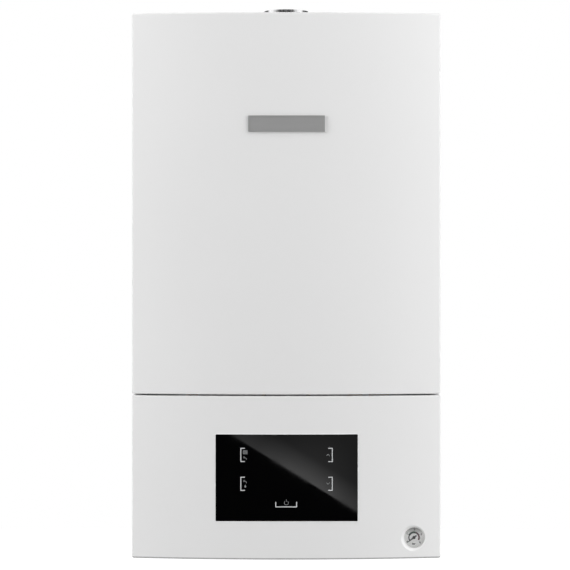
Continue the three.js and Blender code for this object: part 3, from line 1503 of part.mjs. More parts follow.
const flowPipe = () => {
  const outletDepth = coreFront - coreDepth / tubeCount / 2;
  return pipe(
    [[flowX, stubDepth, actuatorHeight + 32 + clearance], [flowX, stubDepth, exchangerMiddle],
      [flowX, outletDepth, exchangerMiddle],
      [-coreWidth / 2 - exchangerStub - clearance, outletDepth, exchangerMiddle]],
    pipeRadius, 12,
  );
};

const gasPipeUpper = () =>
  pipe(
    [[0, gasOutletDepth, valveBottom + valveHeight + 10 + clearance],
      [0, gasOutletDepth, chamberBottom - gasBendDrop], [0, manifoldDepth, chamberBottom - gasBendDrop],
      [0, manifoldDepth, injectorHeight - 18 - clearance]],
    smallPipeRadius, 10,
  );

const vesselPipe = () => {
  const depth = frameFront + clearance + vesselThickness / 2;
  return pipe(
    [[0, depth, vesselHeight - vesselRadius - vesselNeckLength - clearance], [0, depth, vesselPipeRun],
      [pumpX, depth, vesselPipeRun], [pumpX, depth, pumpHeight + 11 + clearance]],
    vesselPipeRadius, 14, 6, 4,
  );
};

// Gas, hot water and cold water tails, each with its connection and the pipe above it.
function tailPipe(stub, radius, top) {
  const { form, bore } = connection(stub, blockBottom + 4);
  const tube = rodUp(radius, stub.x, stubDepth, blockBottom, top, smallSides);
  return cut(join(form, tube), bore);
}

function meshOf(name, form, finish) {
  const { vertProperties, triVerts } = form.getMesh();
  const geometry = new THREE.BufferGeometry();
  geometry.setAttribute("position", new THREE.BufferAttribute(new Float32Array(vertProperties), 3));
  geometry.setIndex(new THREE.BufferAttribute(new Uint32Array(triVerts), 1));
  const flat = geometry.toNonIndexed();
  flat.computeVertexNormals();
  const mesh = new THREE.Mesh(flat, finish);
  mesh.name = name;
  return mesh;
}

const finish = (color, roughness, metalness) => new THREE.MeshStandardMaterial({ color, roughness, metalness });
const paint = finish("#eceded", 0.45, 0);
const greyPlastic = finish("#e4e6e6", 0.5, 0);
const darkPlastic = finish("#2b2d30", 0.5, 0);
const blackGlass = finish("#08090b", 0.08, 0);
const clearGlass = finish("#dfe9ea", 0.05, 0);
const dialWhite = finish("#f2f2f0", 0.5, 0);
const zinc = finish("#b9bcbd", 0.45, 0.9);
const aluminium = finish("#c6c8c9", 0.35, 0.9);
const steel = finish("#a9acad", 0.3, 0.95);
const brass = finish("#b58a46", 0.35, 0.9);
const copper = finish("#b4673c", 0.3, 0.95);
const boardGreen = finish("#2d6a45", 0.5, 0);
const redPlastic = finish("#a33127", 0.5, 0);
const blackPaint = finish("#242629", 0.5, 0);
const redPaint = finish("#9c2f26", 0.5, 0);
const rubber = finish("#1d1d1d", 0.8, 0);
const ceramic = finish("#e8e2d6", 0.5, 0);

const boiler = new THREE.Group();
const casing = new THREE.Group();
casing.position.z = -bracketHeight;
boiler.add(casing);

const frontPanel = new THREE.Group();
const controlPanel = new THREE.Group();
const burnerUnit = new THREE.Group();
const waterSide = new THREE.Group();
casing.add(frontPanel, controlPanel, burnerUnit, waterSide);

casing.add(
  meshOf("wall_bracket", wallBracket(), zinc),
  meshOf("back_frame", backFrame(), zinc),
  meshOf("side_panel_left", sidePanel(-1), paint),
  meshOf("side_panel_right", sidePanel(1), paint),
  meshOf("top_plate", topPlate(), zinc),
  meshOf("cross_rail", crossRail(), zinc),
  meshOf("pipe_plate", pipePlate(), zinc),
  meshOf("hinge_bracket_left", hingeBracket(-1), zinc),
  meshOf("hinge_bracket_right", hingeBracket(1), zinc),
);

frontPanel.add(
  meshOf("front_cover", frontCover(), paint),
  meshOf("badge_plate", badgePlate(), steel),
);

controlPanel.add(
  meshOf("control_fascia", controlFascia(), greyPlastic),
  meshOf("display_glass", displayGlass(), blackGlass),
  meshOf("display_board", displayBoard(), boardGreen),
  meshOf("control_box", controlBox(), darkPlastic),
  meshOf("control_box_lid", controlBoxLid(), darkPlastic),
  meshOf("main_board", mainBoard(), boardGreen),
  meshOf("gauge_case", gaugeCase(), dialWhite),
  meshOf("gauge_lens", gaugeLens(), clearGlass),
);
const needle = meshOf("gauge_needle", gaugeNeedle(), darkPlastic);
needle.position.set(gaugeX, 0, gaugeHeight);
needle.rotation.y = -THREE.MathUtils.degToRad(needleAngle);
controlPanel.add(needle);

burnerUnit.add(
  meshOf("air_chamber", airChamber(), zinc),
  meshOf("chamber_cover", chamberCover(), zinc),
  meshOf("sight_glass", sightGlass(), clearGlass),
  meshOf("flue_collar", flueCollar(), aluminium),
  meshOf("flue_spigot", flueSpigot(), steel),
  meshOf("air_port_cover", airPortCover(), zinc),
  meshOf("fan_housing", fanHousing(), aluminium),
  meshOf("fan_motor", fanMotor(), darkPlastic),
  meshOf("flue_hood", flueHood(), aluminium),
  meshOf("heat_exchanger", heatExchanger(), copper),
  meshOf("combustion_box", combustionBox(), ceramic),
  meshOf("burner", burner(), steel),
  meshOf("gas_manifold", gasManifold(), aluminium),
  meshOf("electrode_block", electrodeBlock(), ceramic),
  meshOf("pressure_switch", pressureSwitch(), darkPlastic),
  meshOf("pressure_hose", pressureHose(), rubber),
);
const impeller = meshOf("fan_impeller", fanImpeller(), aluminium);
impeller.position.set(fanX, 0, fanHeight);
burnerUnit.add(impeller);

waterSide.add(
  meshOf("expansion_vessel", expansionVessel(), redPaint),
  meshOf("vessel_pipe", vesselPipe(), copper),
  meshOf("pump_housing", pumpHousing(), brass),
  meshOf("pump_motor", pumpMotor(), blackPaint),
  meshOf("air_vent", airVent(), brass),
  meshOf("flow_block", flowBlock(), brass),
  meshOf("return_block", returnBlock(), brass),
  meshOf("plate_heat_exchanger", plateHeatExchanger(), steel),
  meshOf("diverter_actuator", diverterActuator(), darkPlastic),
  meshOf("safety_valve", safetyValve(), brass),
  meshOf("gas_valve", gasValve(), aluminium),
  meshOf("gas_pipe_lower", tailPipe(stubs[2], pipeRadius, valveBottom - 10 - clearance), copper),
  meshOf("gas_pipe_upper", gasPipeUpper(), aluminium),
  meshOf("flow_pipe", flowPipe(), copper),
  meshOf("return_pipe", returnPipe(), copper),
  meshOf("hot_water_pipe", tailPipe(stubs[1], smallPipeRadius, blockBottom + 24 - clearance), copper),
  meshOf("cold_water_pipe", tailPipe(stubs[3], smallPipeRadius, blockBottom + 24 - clearance), copper),
  meshOf("filling_valve", fillingValve(), brass),
);
const rotor = meshOf("pump_rotor", pumpRotor(), darkPlastic);
rotor.position.set(pumpX, 0, pumpHeight);
const safetyKnob = meshOf("safety_valve_knob", safetyValveKnob(), redPlastic);
safetyKnob.position.set(returnX, 0, safetyHeight);
const fillingKnob = meshOf("filling_valve_knob", fillingValveKnob(), darkPlastic);
fillingKnob.position.set(fillX, -stubDepth, 0);
const ventCap = meshOf("air_vent_cap", airVentCap(), darkPlastic);
ventCap.position.set(ventX, -ventDepth, pumpTop - 22 + 2 * clearance + ventHeight);
waterSide.add(rotor, safetyKnob, fillingKnob, ventCap);

export default boiler;
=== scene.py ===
import json
import math

import bmesh
import bpy
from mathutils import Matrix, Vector


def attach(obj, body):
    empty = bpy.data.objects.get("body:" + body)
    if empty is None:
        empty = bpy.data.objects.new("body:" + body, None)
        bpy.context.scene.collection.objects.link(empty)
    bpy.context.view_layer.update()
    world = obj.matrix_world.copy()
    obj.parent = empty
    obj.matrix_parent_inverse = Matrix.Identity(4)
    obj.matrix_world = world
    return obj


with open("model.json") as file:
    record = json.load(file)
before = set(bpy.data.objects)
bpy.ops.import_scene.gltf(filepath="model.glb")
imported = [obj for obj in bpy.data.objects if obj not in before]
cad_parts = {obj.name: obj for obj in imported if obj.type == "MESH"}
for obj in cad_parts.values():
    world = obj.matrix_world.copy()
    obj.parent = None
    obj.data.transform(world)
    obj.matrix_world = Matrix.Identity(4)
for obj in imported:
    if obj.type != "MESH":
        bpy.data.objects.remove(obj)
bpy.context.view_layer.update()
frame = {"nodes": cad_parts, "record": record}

nodes = frame["nodes"]
scene = bpy.context.scene

MM = 0.001
CASING_BOTTOM = -0.645
FRONT_EDGE = 0.283
FRONT_DEPTH = 299.0
BOW_RADIUS = 1258.0
GLASS_FRONT = 296.0
GLASS_CENTRE = 0.4
GLASS_HEIGHT = 105.25
GAUGE_X = 165.4
GAUGE_HEIGHT = 26.3
DIAL_FACE = 280.53
DIAL_PRINT = 280.6
HUB_FRONT = 281.54
FLUE_DEPTH = 136.5
STUB_DEPTH = 110.0
TOP_SHEET = 699.2
CHAMBER_FRONT = 237.5
SIGHT_HEIGHT = 344
PUMP_X = 122
PUMP_HEIGHT = 128
VALVE_FRONT = 146.0
LID_REAR = 224.0


def place(x_mm, depth_mm, height_mm):
    """A point given as x, depth from the wall and height above the casing's lower edge, in mm."""
    return Vector((x_mm * MM, -depth_mm * MM, CASING_BOTTOM + height_mm * MM))


def on_circle(u, v, radius, degrees):
    angle = math.radians(degrees)
    return u + radius * math.cos(angle), v + radius * math.sin(angle)


# Camera.
IMAGE = 570
FOCAL_PX = 2008.0
HORIZON_ROW = 245.55
CAMERA_GAP = 2.6
CAMERA_X = -0.0017
CAMERA_HEIGHT = -0.2405
SENSOR_WIDTH = 36.0

camera_data = bpy.data.cameras.new("photo_camera")
camera_data.sensor_fit = "HORIZONTAL"
camera_data.sensor_width = SENSOR_WIDTH
camera_data.lens = FOCAL_PX * SENSOR_WIDTH / IMAGE
camera_data.shift_y = (HORIZON_ROW - IMAGE / 2) / IMAGE
camera_data.clip_end = 60.0
camera = bpy.data.objects.new("photo_camera", camera_data)
scene.collection.objects.link(camera)
camera.location = (CAMERA_X, -(FRONT_EDGE + CAMERA_GAP), CAMERA_HEIGHT)
camera.rotation_euler = (math.radians(90), 0.0, 0.0)
scene.camera = camera

scene.view_settings.view_transform = "Standard"


# Node helpers.
def new_material(name):
    material = bpy.data.materials.new(name)
    material.use_nodes = True
    tree = material.node_tree
    shader = tree.nodes["Principled BSDF"]
    return material, tree, shader


def add_node(tree, kind, **values):
    node = tree.nodes.new(kind)
    for key, value in values.items():
        setattr(node, key, value)
    return node


def noise(tree, scale, detail=2.0, roughness=0.5, stretch=None):
    coords = add_node(tree, "ShaderNodeTexCoord")
    texture = add_node(tree, "ShaderNodeTexNoise")
    texture.inputs["Scale"].default_value = scale
    texture.inputs["Detail"].default_value = detail
    texture.inputs["Roughness"].default_value = roughness
    if stretch:
        mapping = add_node(tree, "ShaderNodeMapping")
        mapping.inputs["Scale"].default_value = stretch
        tree.links.new(coords.outputs["Object"], mapping.inputs["Vector"])
        tree.links.new(mapping.outputs["Vector"], texture.inputs["Vector"])
    else:
        tree.links.new(coords.outputs["Object"], texture.inputs["Vector"])
    return texture


def ramp(tree, source, stops):
    node = add_node(tree, "ShaderNodeValToRGB")
    elements = node.color_ramp.elements
    while len(elements) < len(stops):
        elements.new(0.5)
    for element, (position, colour) in zip(elements, stops):
        element.position = position
        element.color = (*colour, 1.0)
    tree.links.new(source, node.inputs["Fac"])
    return node


def shade(colour, factor):
    return tuple(min(1.0, c * factor) for c in colour)


def grey(level):
    return (level, level, level)


def surface(name, colour, roughness, metallic=0.0, vary=0.03, vary_scale=14.0, grain_scale=900.0,
            grain=0.02, roughness_spread=0.05, stretch=None):
    """A procedural finish: slow colour variation, fine grain in the bump and in the roughness."""
    material, tree, shader = new_material(name)
    slow = noise(tree, vary_scale, 3.0, 0.55, stretch)
    darker, lighter = shade(colour, 1.0 - vary), shade(colour, 1.0 + vary)
    tint = ramp(tree, slow.outputs["Fac"], [(0.3, darker), (0.7, lighter)])
    tree.links.new(tint.outputs["Color"], shader.inputs["Base Color"])
    fine = noise(tree, grain_scale, 2.0, 0.6, stretch)
    low, high = roughness - roughness_spread, roughness + roughness_spread
    rough = ramp(tree, fine.outputs["Fac"], [(0.3, grey(low)), (0.7, grey(high))])
    tree.links.new(rough.outputs["Color"], shader.inputs["Roughness"])
    bump = add_node(tree, "ShaderNodeBump")
    bump.inputs["Strength"].default_value = grain
    bump.inputs["Distance"].default_value = 0.0004
    tree.links.new(fine.outputs["Fac"], bump.inputs["Height"])
    tree.links.new(bump.outputs["Normal"], shader.inputs["Normal"])
    shader.inputs["Metallic"].default_value = metallic
    return material


def blend_along(material, axis, start, end, colour):
    """The base colour turns into another one from start to end along one of the object's own axes."""
    tree = material.node_tree
    shader = tree.nodes["Principled BSDF"]
    tint = shader.inputs["Base Color"].links[0].from_socket
    coords = add_node(tree, "ShaderNodeTexCoord")
    parts = add_node(tree, "ShaderNodeSeparateXYZ")
    tree.links.new(coords.outputs["Object"], parts.inputs["Vector"])
    share = add_node(tree, "ShaderNodeMapRange")
    share.inputs["From Min"].default_value = start
    share.inputs["From Max"].default_value = end
    tree.links.new(parts.outputs[axis], share.inputs["Value"])
    mix = add_node(tree, "ShaderNodeMixRGB")
    mix.inputs["Color2"].default_value = (*colour, 1.0)
    tree.links.new(share.outputs["Result"], mix.inputs["Fac"])
    tree.links.new(tint, mix.inputs["Color1"])
    tree.links.new(mix.outputs["Color"], shader.inputs["Base Color"])


def spangled_zinc():
    """Galvanised sheet: crystal patches in colour and roughness."""
    material, tree, shader = new_material("galvanised_sheet")
    coords = add_node(tree, "ShaderNodeTexCoord")
    cells = add_node(tree, "ShaderNodeTexVoronoi")
    cells.inputs["Scale"].default_value = 130.0
    tree.links.new(coords.outputs["Object"], cells.inputs["Vector"])
    chance = add_node(tree, "ShaderNodeSeparateColor")
    tree.links.new(cells.outputs["Color"], chance.inputs["Color"])
    tint = ramp(tree, chance.outputs["Red"], [(0.0, (0.47, 0.485, 0.495)), (1.0, (0.62, 0.63, 0.64))])
    tree.links.new(tint.outputs["Color"], shader.inputs["Base Color"])
    rough = ramp(tree, chance.outputs["Green"], [(0.0, grey(0.30)), (1.0, grey(0.48))])
    tree.links.new(rough.outputs["Color"], shader.inputs["Roughness"])
    shader.inputs["Metallic"].default_value = 0.9
    return material


WHITE_PAINT = grey(0.803)
PAINTED_SHADE_HEIGHT = 2.5 * MM
PAINTED_SHADE_BLEND = 1.2 * MM
BADGE_HIGHLIGHT_START = 0.0494
BADGE_HIGHLIGHT_END = 0.0500
DULL_GRAIN = 2600.0

paint = surface("white_powder_coat", WHITE_PAINT, 0.34, vary=0.006, vary_scale=5.0,
                grain_scale=1100.0, grain=0.06, roughness_spread=0.04)
fascia_plastic = surface("white_moulded_plastic", WHITE_PAINT, 0.36, vary=0.006, vary_scale=5.0,
                         grain_scale=DULL_GRAIN, grain=0.08, roughness_spread=0.04)
# Painted shade: the fascia turns dark grey over its lowest 2.5 mm, standing in for the shade on its rounded
# lower edge.
painted_shade_top = CASING_BOTTOM + PAINTED_SHADE_HEIGHT
blend_along(fascia_plastic, "Z", painted_shade_top, painted_shade_top - PAINTED_SHADE_BLEND, grey(0.36))
badge_metal = surface("badge_brushed", grey(0.387), 0.4, metallic=0.3, vary=0.05, vary_scale=60.0,
                      grain_scale=700.0, grain=0.05, stretch=(0.05, 1.0, 1.0))
# Painted highlight: the badge turns light grey beyond 50 mm right of its centre, standing in for light caught
# by its right end.
blend_along(badge_metal, "X", BADGE_HIGHLIGHT_START, BADGE_HIGHLIGHT_END, grey(0.86))
gauge_white = surface("gauge_white_plastic", (0.82, 0.82, 0.81), 0.3, grain_scale=2500.0)
dark_plastic = surface("dark_plastic", (0.035, 0.036, 0.039), 0.42, vary=0.08,
                       grain_scale=2200.0, grain=0.1)
red_plastic = surface("red_plastic", (0.52, 0.045, 0.035), 0.35, vary=0.04, grain_scale=2200.0)
zinc = spangled_zinc()
stainless = surface("stainless_tube", (0.66, 0.66, 0.665), 0.27, metallic=1.0, vary=0.03, vary_scale=40.0,
                    grain_scale=900.0, grain=0.03, stretch=(1.0, 1.0, 0.06))
aluminium = surface("cast_aluminium", (0.66, 0.67, 0.68), 0.38, metallic=0.95, vary=0.05, vary_scale=30.0,
                    grain_scale=500.0, grain=0.15, roughness_spread=0.08)
copper = surface("drawn_copper", (0.78, 0.37, 0.22), 0.26, metallic=1.0, vary=0.12, vary_scale=22.0,
                 grain_scale=420.0, grain=0.03, roughness_spread=0.08)
brass = surface("cast_brass", (0.72, 0.52, 0.25), 0.34, metallic=1.0, vary=0.08, vary_scale=26.0,
                grain_scale=600.0, grain=0.12, roughness_spread=0.08)
red_paint = surface("vessel_red_paint", (0.43, 0.035, 0.03), 0.32, vary=0.05,
                    grain_scale=900.0, grain=0.08)
black_paint = surface("motor_black_paint", (0.028, 0.029, 0.032), 0.4, vary=0.1,
                      grain_scale=1000.0, grain=0.15)
board_green = surface("board_green", (0.02, 0.17, 0.07), 0.32, vary=0.12, vary_scale=120.0,
                      grain_scale=800.0)
rubber = surface("black_rubber", (0.02, 0.02, 0.021), 0.7, vary=0.1, grain_scale=1500.0, grain=0.15)
ceramic = surface("ceramic_fibre", (0.74, 0.70, 0.61), 0.8, vary=0.06, vary_scale=60.0,
                  grain_scale=700.0, grain=0.4)


def glass_black():
    material, tree, shader = new_material("display_black_glass")
    smudge = noise(tree, 30.0, 3.0)
    rough = ramp(tree, smudge.outputs["Fac"], [(0.35, grey(0.012)), (0.75, grey(0.035))])
    tree.links.new(rough.outputs["Color"], shader.inputs["Roughness"])
    shader.inputs["Base Color"].default_value = (0.0012, 0.0012, 0.0014, 1.0)
    shader.inputs["IOR"].default_value = 1.5
    return material


def glass_clear():
    material, tree, shader = new_material("clear_lens")
    smudge = noise(tree, 60.0, 3.0)
    rough = ramp(tree, smudge.outputs["Fac"], [(0.35, grey(0.01)), (0.75, grey(0.04))])
    tree.links.new(rough.outputs["Color"], shader.inputs["Roughness"])
    shader.inputs["Base Color"].default_value = (1.0, 1.0, 1.0, 1.0)
    shader.inputs["Transmission Weight"].default_value = 1.0
    shader.inputs["IOR"].default_value = 1.45
    return material


black_glass = glass_black()
clear_glass = glass_clear()

SLOT_MATERIALS = {
    "casing_paint": paint,
    "fascia_plastic": fascia_plastic,
    "black_glass": black_glass,
    "clear_glass": clear_glass,
    "badge_metal": badge_metal,
    "gauge_white": gauge_white,
    "zinc_sheet": zinc,
    "flue_steel": stainless,
    "cast_aluminium": aluminium,
    "copper": copper,
    "brass": brass,
    "dark_plastic": dark_plastic,
    "red_plastic": red_plastic,
    "red_paint": red_paint,
    "black_paint": black_paint,
    "board_green": board_green,
    "black_rubber": rubber,
    "ceramic_board": ceramic,
}
ROUND_EDGES = {
    "front_cover": 0.0008,
    "control_fascia": 0.0006,
    "badge_plate": 0.0002,
    "display_glass": 0.0004,
    "gauge_case": 0.0003,
}
node_slot = {row["node"]: row["material_slot"] for row in frame["record"]["subparts"]}


def finish_cad(name):
    piece = nodes[name]
    piece.data.materials.clear()
    piece.data.materials.append(SLOT_MATERIALS[node_slot[name]])
    for polygon in piece.data.polygons:
        polygon.use_smooth = True
    weld = piece.modifiers.new("weld", "WELD")
    weld.merge_threshold = 0.00001
    bevel = piece.modifiers.new("bevel", "BEVEL")
    bevel.width = ROUND_EDGES.get(name, 0.0004)
    bevel.segments = 2
    bevel.limit_method = "ANGLE"
    bevel.angle_limit = math.radians(34)
    bevel.use_clamp_overlap = True
    bevel.harden_normals = False
    normals = piece.modifiers.new("normals", "WEIGHTED_NORMAL")
    normals.keep_sharp = False
    normals.weight = 80


for node_name in nodes:
    finish_cad(node_name)


# Mesh helpers for the fine pieces.
def front_view(u, v, w):
    """x, height, and depth growing towards the room."""
    return place(u, w, v)


def rear_view(u, v, w):
    """x, height, and a distance growing towards the wall from depth 0, so w is minus the depth."""
    return place(u, -w, v)


def top_view(u, v, w):
    """x, depth, and height growing upwards."""
    return place(u, v, w)


def face_depth(x):
    """Depth of the bowed front at x, in mm."""
    return FRONT_DEPTH - BOW_RADIUS + math.sqrt(BOW_RADIUS**2 - x * x)


def turned(form, view, centre, profile, sides, closed=False):
    """A profile of radius and rise, turned about the axis through centre."""
    u, v, w = centre
    rings = []
    for radius, rise in profile:
        if radius < 0.001:
            rings.append([form.verts.new(view(u, v, w + rise))])
            continue
        angles = [2 * math.pi * (i + 0.5) / sides for i in range(sides)]
        circle = [(u + radius * math.cos(a), v + radius * math.sin(a)) for a in angles]
        rings.append([form.verts.new(view(x, y, w + rise)) for x, y in circle])
    pairs = list(zip(rings, rings[1:]))
    if closed:
        pairs.append((rings[-1], rings[0]))
    for low, high in pairs:
        for i in range(sides):
            j = (i + 1) % sides
            corners = [low[i % len(low)], low[j % len(low)], high[j % len(high)], high[i % len(high)]]
            unique = list(dict.fromkeys(corners))
            if len(unique) > 2:
                form.faces.new(unique)


def prism(form, view, outline, low, high):
    """A closed outline of u and v, extruded from low to high."""
    rings = [[form.verts.new(view(u, v, w)) for u, v in outline] for w in (low, high)]
    for ring in rings:
        form.faces.new(ring)
    for i in range(len(outline)):
        j = (i + 1) % len(outline)
        form.faces.new((rings[0][i], rings[0][j], rings[1][j], rings[1][i]))


def offset_line(points, reach):
    """The open line moved sideways by reach, with mitred corners."""
    line = [Vector(point) for point in points]
    along = [(b - a).normalized() for a, b in zip(line, line[1:])]
    normals = [Vector((-side.y, side.x)) for side in along]
    moved = []
    for here, before, after in zip(line, normals[:1] + normals, normals + normals[-1:]):
        middle = (before + after).normalized()
        moved.append(here + middle * reach / max(0.4, middle.dot(before)))
    return moved


def stroke(form, view, points, width, low, high):
    """A raised line of even width along points of u and v."""
    left = offset_line(points, width / 2)
    right = offset_line(points, -width / 2)
    prism(form, view, left + right[::-1], low, high)


def ring_tube(form, points, radius, sides=8):
    """A round tube along a closed line of points in metres, framed against the direction of the room."""
    room = Vector((0.0, -1.0, 0.0))
    rings = []
    for before, point, after in zip(points[-1:] + points, points, points[1:] + points[:1]):
        along = (after - before).normalized()
        out = (room - along * room.dot(along)).normalized()
        across = along.cross(out)
        angles = [2 * math.pi * k / sides for k in range(sides)]
        spokes = [(out * math.cos(a) + across * math.sin(a)) * radius for a in angles]
        rings.append([form.verts.new(point + spoke) for spoke in spokes])
    for low, high in zip(rings, rings[1:] + rings[:1]):
        for k in range(sides):
            m = (k + 1) % sides
            form.faces.new((low[k], low[m], high[m], high[k]))


def add_text(form, words, size, u, v, low, high):
    """Plain figures of the scale, as solid print between two depths."""
    data = bpy.data.curves.new("scale_text", "FONT")
    data.body = words
    data.size = size
    data.resolution_u = 3
    data.align_x = "CENTER"
    data.align_y = "CENTER"
    data.extrude = (high - low) / 2
    data.offset = 0.14
    item = bpy.data.objects.new("scale_text", data)
    scene.collection.objects.link(item)
    graph = bpy.context.evaluated_depsgraph_get()
    mesh = bpy.data.meshes.new_from_object(item.evaluated_get(graph))
    for vertex in mesh.vertices:
        x, y, z = vertex.co
        vertex.co = place(u + x, (low + high) / 2 + z, v + y)
    form.from_mesh(mesh)
    bpy.data.objects.remove(item)
    bpy.data.curves.remove(data)
    bpy.data.meshes.remove(mesh)


def add_piece(name, form, material, body, bevel=0.0):
    """Turns the form into an object that rides on a CAD body."""
    bmesh.ops.recalc_face_normals(form, faces=form.faces)
    mesh = bpy.data.meshes.new(name)
    form.to_mesh(mesh)
    form.free()
    mesh.materials.append(material)
    for polygon in mesh.polygons:
        polygon.use_smooth = True
    mesh.set_sharp_from_angle(angle=math.radians(36))
    item = bpy.data.objects.new(name, mesh)
    scene.collection.objects.link(item)
    if bevel:
        rounding = item.modifiers.new("bevel", "BEVEL")
        rounding.width = bevel
        rounding.segments = 2
        rounding.limit_method = "ANGLE"
    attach(item, body)


def hex_screw(form, view, u, v, w, radius):
    """Washer-faced hexagon sheet-metal screw, standing on w."""
    head = radius * 0.62
    turned(form, view, (u, v, w), [(0, 0), (radius, 0), (radius, 0.5), (radius * 0.8, 1.0), (0, 1.0)], 18)
    turned(form, view, (u, v, w), [
        (0, 0.9), (head, 0.9), (head, 3.2), (head * 0.86, 3.6),
        (head * 0.42, 3.6), (head * 0.34, 3.0), (0, 3.0),
    ], 6)


def rivet(form, view, u, v, w, radius, rise):
    turned(form, view, (u, v, w), [
        (0, 0), (radius, 0), (radius * 0.95, rise * 0.45), (radius * 0.7, rise * 0.85), (0, rise),
    ], 16)


def socket_screw(form, view, u, v, w, radius):
    turned(form, view, (u, v, w), [
        (0, 0), (radius, 0), (radius, 2.8), (radius * 0.9, 3.2),
        (radius * 0.55, 3.2), (radius * 0.5, 1.6), (0, 1.6),
    ], 12)


# Finishes of the fine pieces.
PRINT = {"vary_scale": 90.0, "grain_scale": DULL_GRAIN}
SCALE_PRINT = {"vary_scale": 120.0, "grain_scale": DULL_GRAIN}
DIAL_PAINTED_SHADOW_START = 0.0035
DIAL_PAINTED_SHADOW_END = 0.0115

icon_print = surface("icon_print", (0.62, 0.63, 0.64), 0.5, vary=0.05, **PRINT)
glyph_print = surface("glyph_print", (0.25, 0.255, 0.26), 0.5, vary=0.05, **PRINT)
dial_face = surface("dial_face", (0.74, 0.74, 0.735), 0.5, vary=0.02, vary_scale=60.0, grain_scale=DULL_GRAIN)
dial_centre = CASING_BOTTOM + GAUGE_HEIGHT * MM
# Painted shadow: the dial face darkens towards its top, standing in for the shadow of the rim above it.
blend_along(dial_face, "Z", dial_centre + DIAL_PAINTED_SHADOW_START, dial_centre + DIAL_PAINTED_SHADOW_END, (0.24, 0.24, 0.235))
scale_black = surface("scale_black", (0.012, 0.012, 0.013), 0.55, vary=0.1, **SCALE_PRINT)
scale_green = surface("scale_green", (0.006, 0.034, 0.02), 0.55, vary=0.08, **SCALE_PRINT)
scale_red = surface("scale_red", (0.06, 0.012, 0.022), 0.55, vary=0.08, **SCALE_PRINT)
bead_gloss = surface("bead_gloss_white", (0.93, 0.93, 0.935), 0.22, vary=0.01, grain_scale=DULL_GRAIN)
screw_zinc = surface("zinc_plated_screw", (0.60, 0.61, 0.63), 0.3, metallic=1.0, vary=0.08, vary_scale=90.0,
                     grain_scale=1400.0, grain=0.05)
turned_brass = surface("turned_brass", (0.78, 0.57, 0.27), 0.26, metallic=1.0, vary=0.07, vary_scale=60.0,
                       grain_scale=900.0, grain=0.05)


# Display print and bead.
def display_icons():
    low, high = GLASS_FRONT - 0.02, GLASS_FRONT + 0.06
    form = bmesh.new()

    def line(points, width):
        stroke(form, front_view, points, width, low, high)

    for x, reach in ((-58.6, 5.2), (59.2, -5.2)):
        for bottom, top in ((126.2, 143.3), (89.1, 106.0)):
            line([(x + reach, top), (x, top), (x, bottom), (x + reach, bottom)], 1.1)
    line([(-13.6, 74.3), (-13.6, 67.8), (13.3, 67.8), (13.3, 74.3)], 1.1)
    add_piece("display_brackets", form, icon_print, "control_panel")

    # Radiator: five columns between two rails.
    form = bmesh.new()
    for i in range(5):
        x = -55.4 + 1.2 * i
        line([(x, 135.7), (x, 140.9)], 0.75)
    for height in (136.2, 140.4):
        line([(-55.9, height), (-50.1, height)], 0.5)

    # Taps: body with a bent spout, stem and handle.
    for height in (131.0, 100.6):
        line([(-55.6, height), (-52.6, height), (-51.4, height - 1.0), (-51.4, height - 2.4)], 0.6)
        line([(-54.4, height), (-54.4, height + 1.5)], 0.5)
        line([(-55.5, height + 1.5), (-53.3, height + 1.5)], 0.5)

    # Drop.
    drop = [
        (0.0, 2.3), (0.9, 0.7), (1.25, -0.3), (0.85, -1.2),
        (0.0, -1.6), (-0.85, -1.2), (-1.25, -0.3), (-0.9, 0.7),
    ]
    prism(form, front_view, [(-52.9 + u, 94.2 + v) for u, v in drop], low, high)

    # Up and down arrows.
    line([(51.8, 133.6), (53.8, 135.8), (55.8, 133.6)], 0.6)
    line([(51.8, 99.0), (53.8, 96.8), (55.8, 99.0)], 0.6)

    # On and off: an open ring with a stroke through its gap.
    ring_start, ring_sweep, ring_steps = 128, 284, 22
    turns = [ring_start + ring_sweep * i / ring_steps for i in range(ring_steps + 1)]
    line([on_circle(0.0, 73.0, 2.7, turn) for turn in turns], 0.55)
    line([(0.0, 74.4), (0.0, 77.4)], 0.6)
    add_piece("display_symbols", form, glyph_print, "control_panel")


def display_bead():
    """Thin gloss bead round the display's pocket, following the bow of the fascia."""
    half_width, half_height, corner, tube_radius = 92.15, 56.55, 1.6, 0.5
    longest_step, sink = 8, 0.12
    outline = []
    for sx, sz, start in ((1, 1, 0), (-1, 1, 90), (-1, -1, 180), (1, -1, 270)):
        for step in range(4):
            u, v = GLASS_CENTRE + sx * (half_width - corner), sz * (half_height - corner)
            outline.append(on_circle(u, v, corner, start + 30 * step))
    dense = []
    for (x0, z0), (x1, z1) in zip(outline, outline[1:] + outline[:1]):
        steps = max(1, int(abs(x1 - x0) / longest_step))
        dense += [(x0 + (x1 - x0) * i / steps, z0 + (z1 - z0) * i / steps) for i in range(steps)]
    form = bmesh.new()
    points = [place(x, face_depth(x) - sink, GLASS_HEIGHT + z) for x, z in dense]
    ring_tube(form, points, tube_radius * MM)
    add_piece("display_bead", form, bead_gloss, "control_panel")


# Pressure gauge.
SCALE_START = 217.6
SCALE_GREEN = 154.0
SCALE_RED = 71.0
SCALE_END = -30.0
SCALE_RADIUS = 6.6
MARK_STEP = 63.75
HALF_MARK = 31.9
MARK_RADIUS = 7.9
FIGURE_RADIUS = 10.3
FIGURE_TURN = 4.0
DIAL_RADIUS = 13.0


def gauge_point(angle, radius):
    return on_circle(GAUGE_X, GAUGE_HEIGHT, radius, angle)


def gauge_arc(name, material, start, end, width):
    steps = max(4, int(abs(start - end) / 8))
    form = bmesh.new()
    points = [gauge_point(start + (end - start) * i / steps, SCALE_RADIUS) for i in range(steps + 1)]
    stroke(form, front_view, points, width, DIAL_PRINT, DIAL_PRINT + 0.06)
    add_piece(name, form, material, "control_panel")


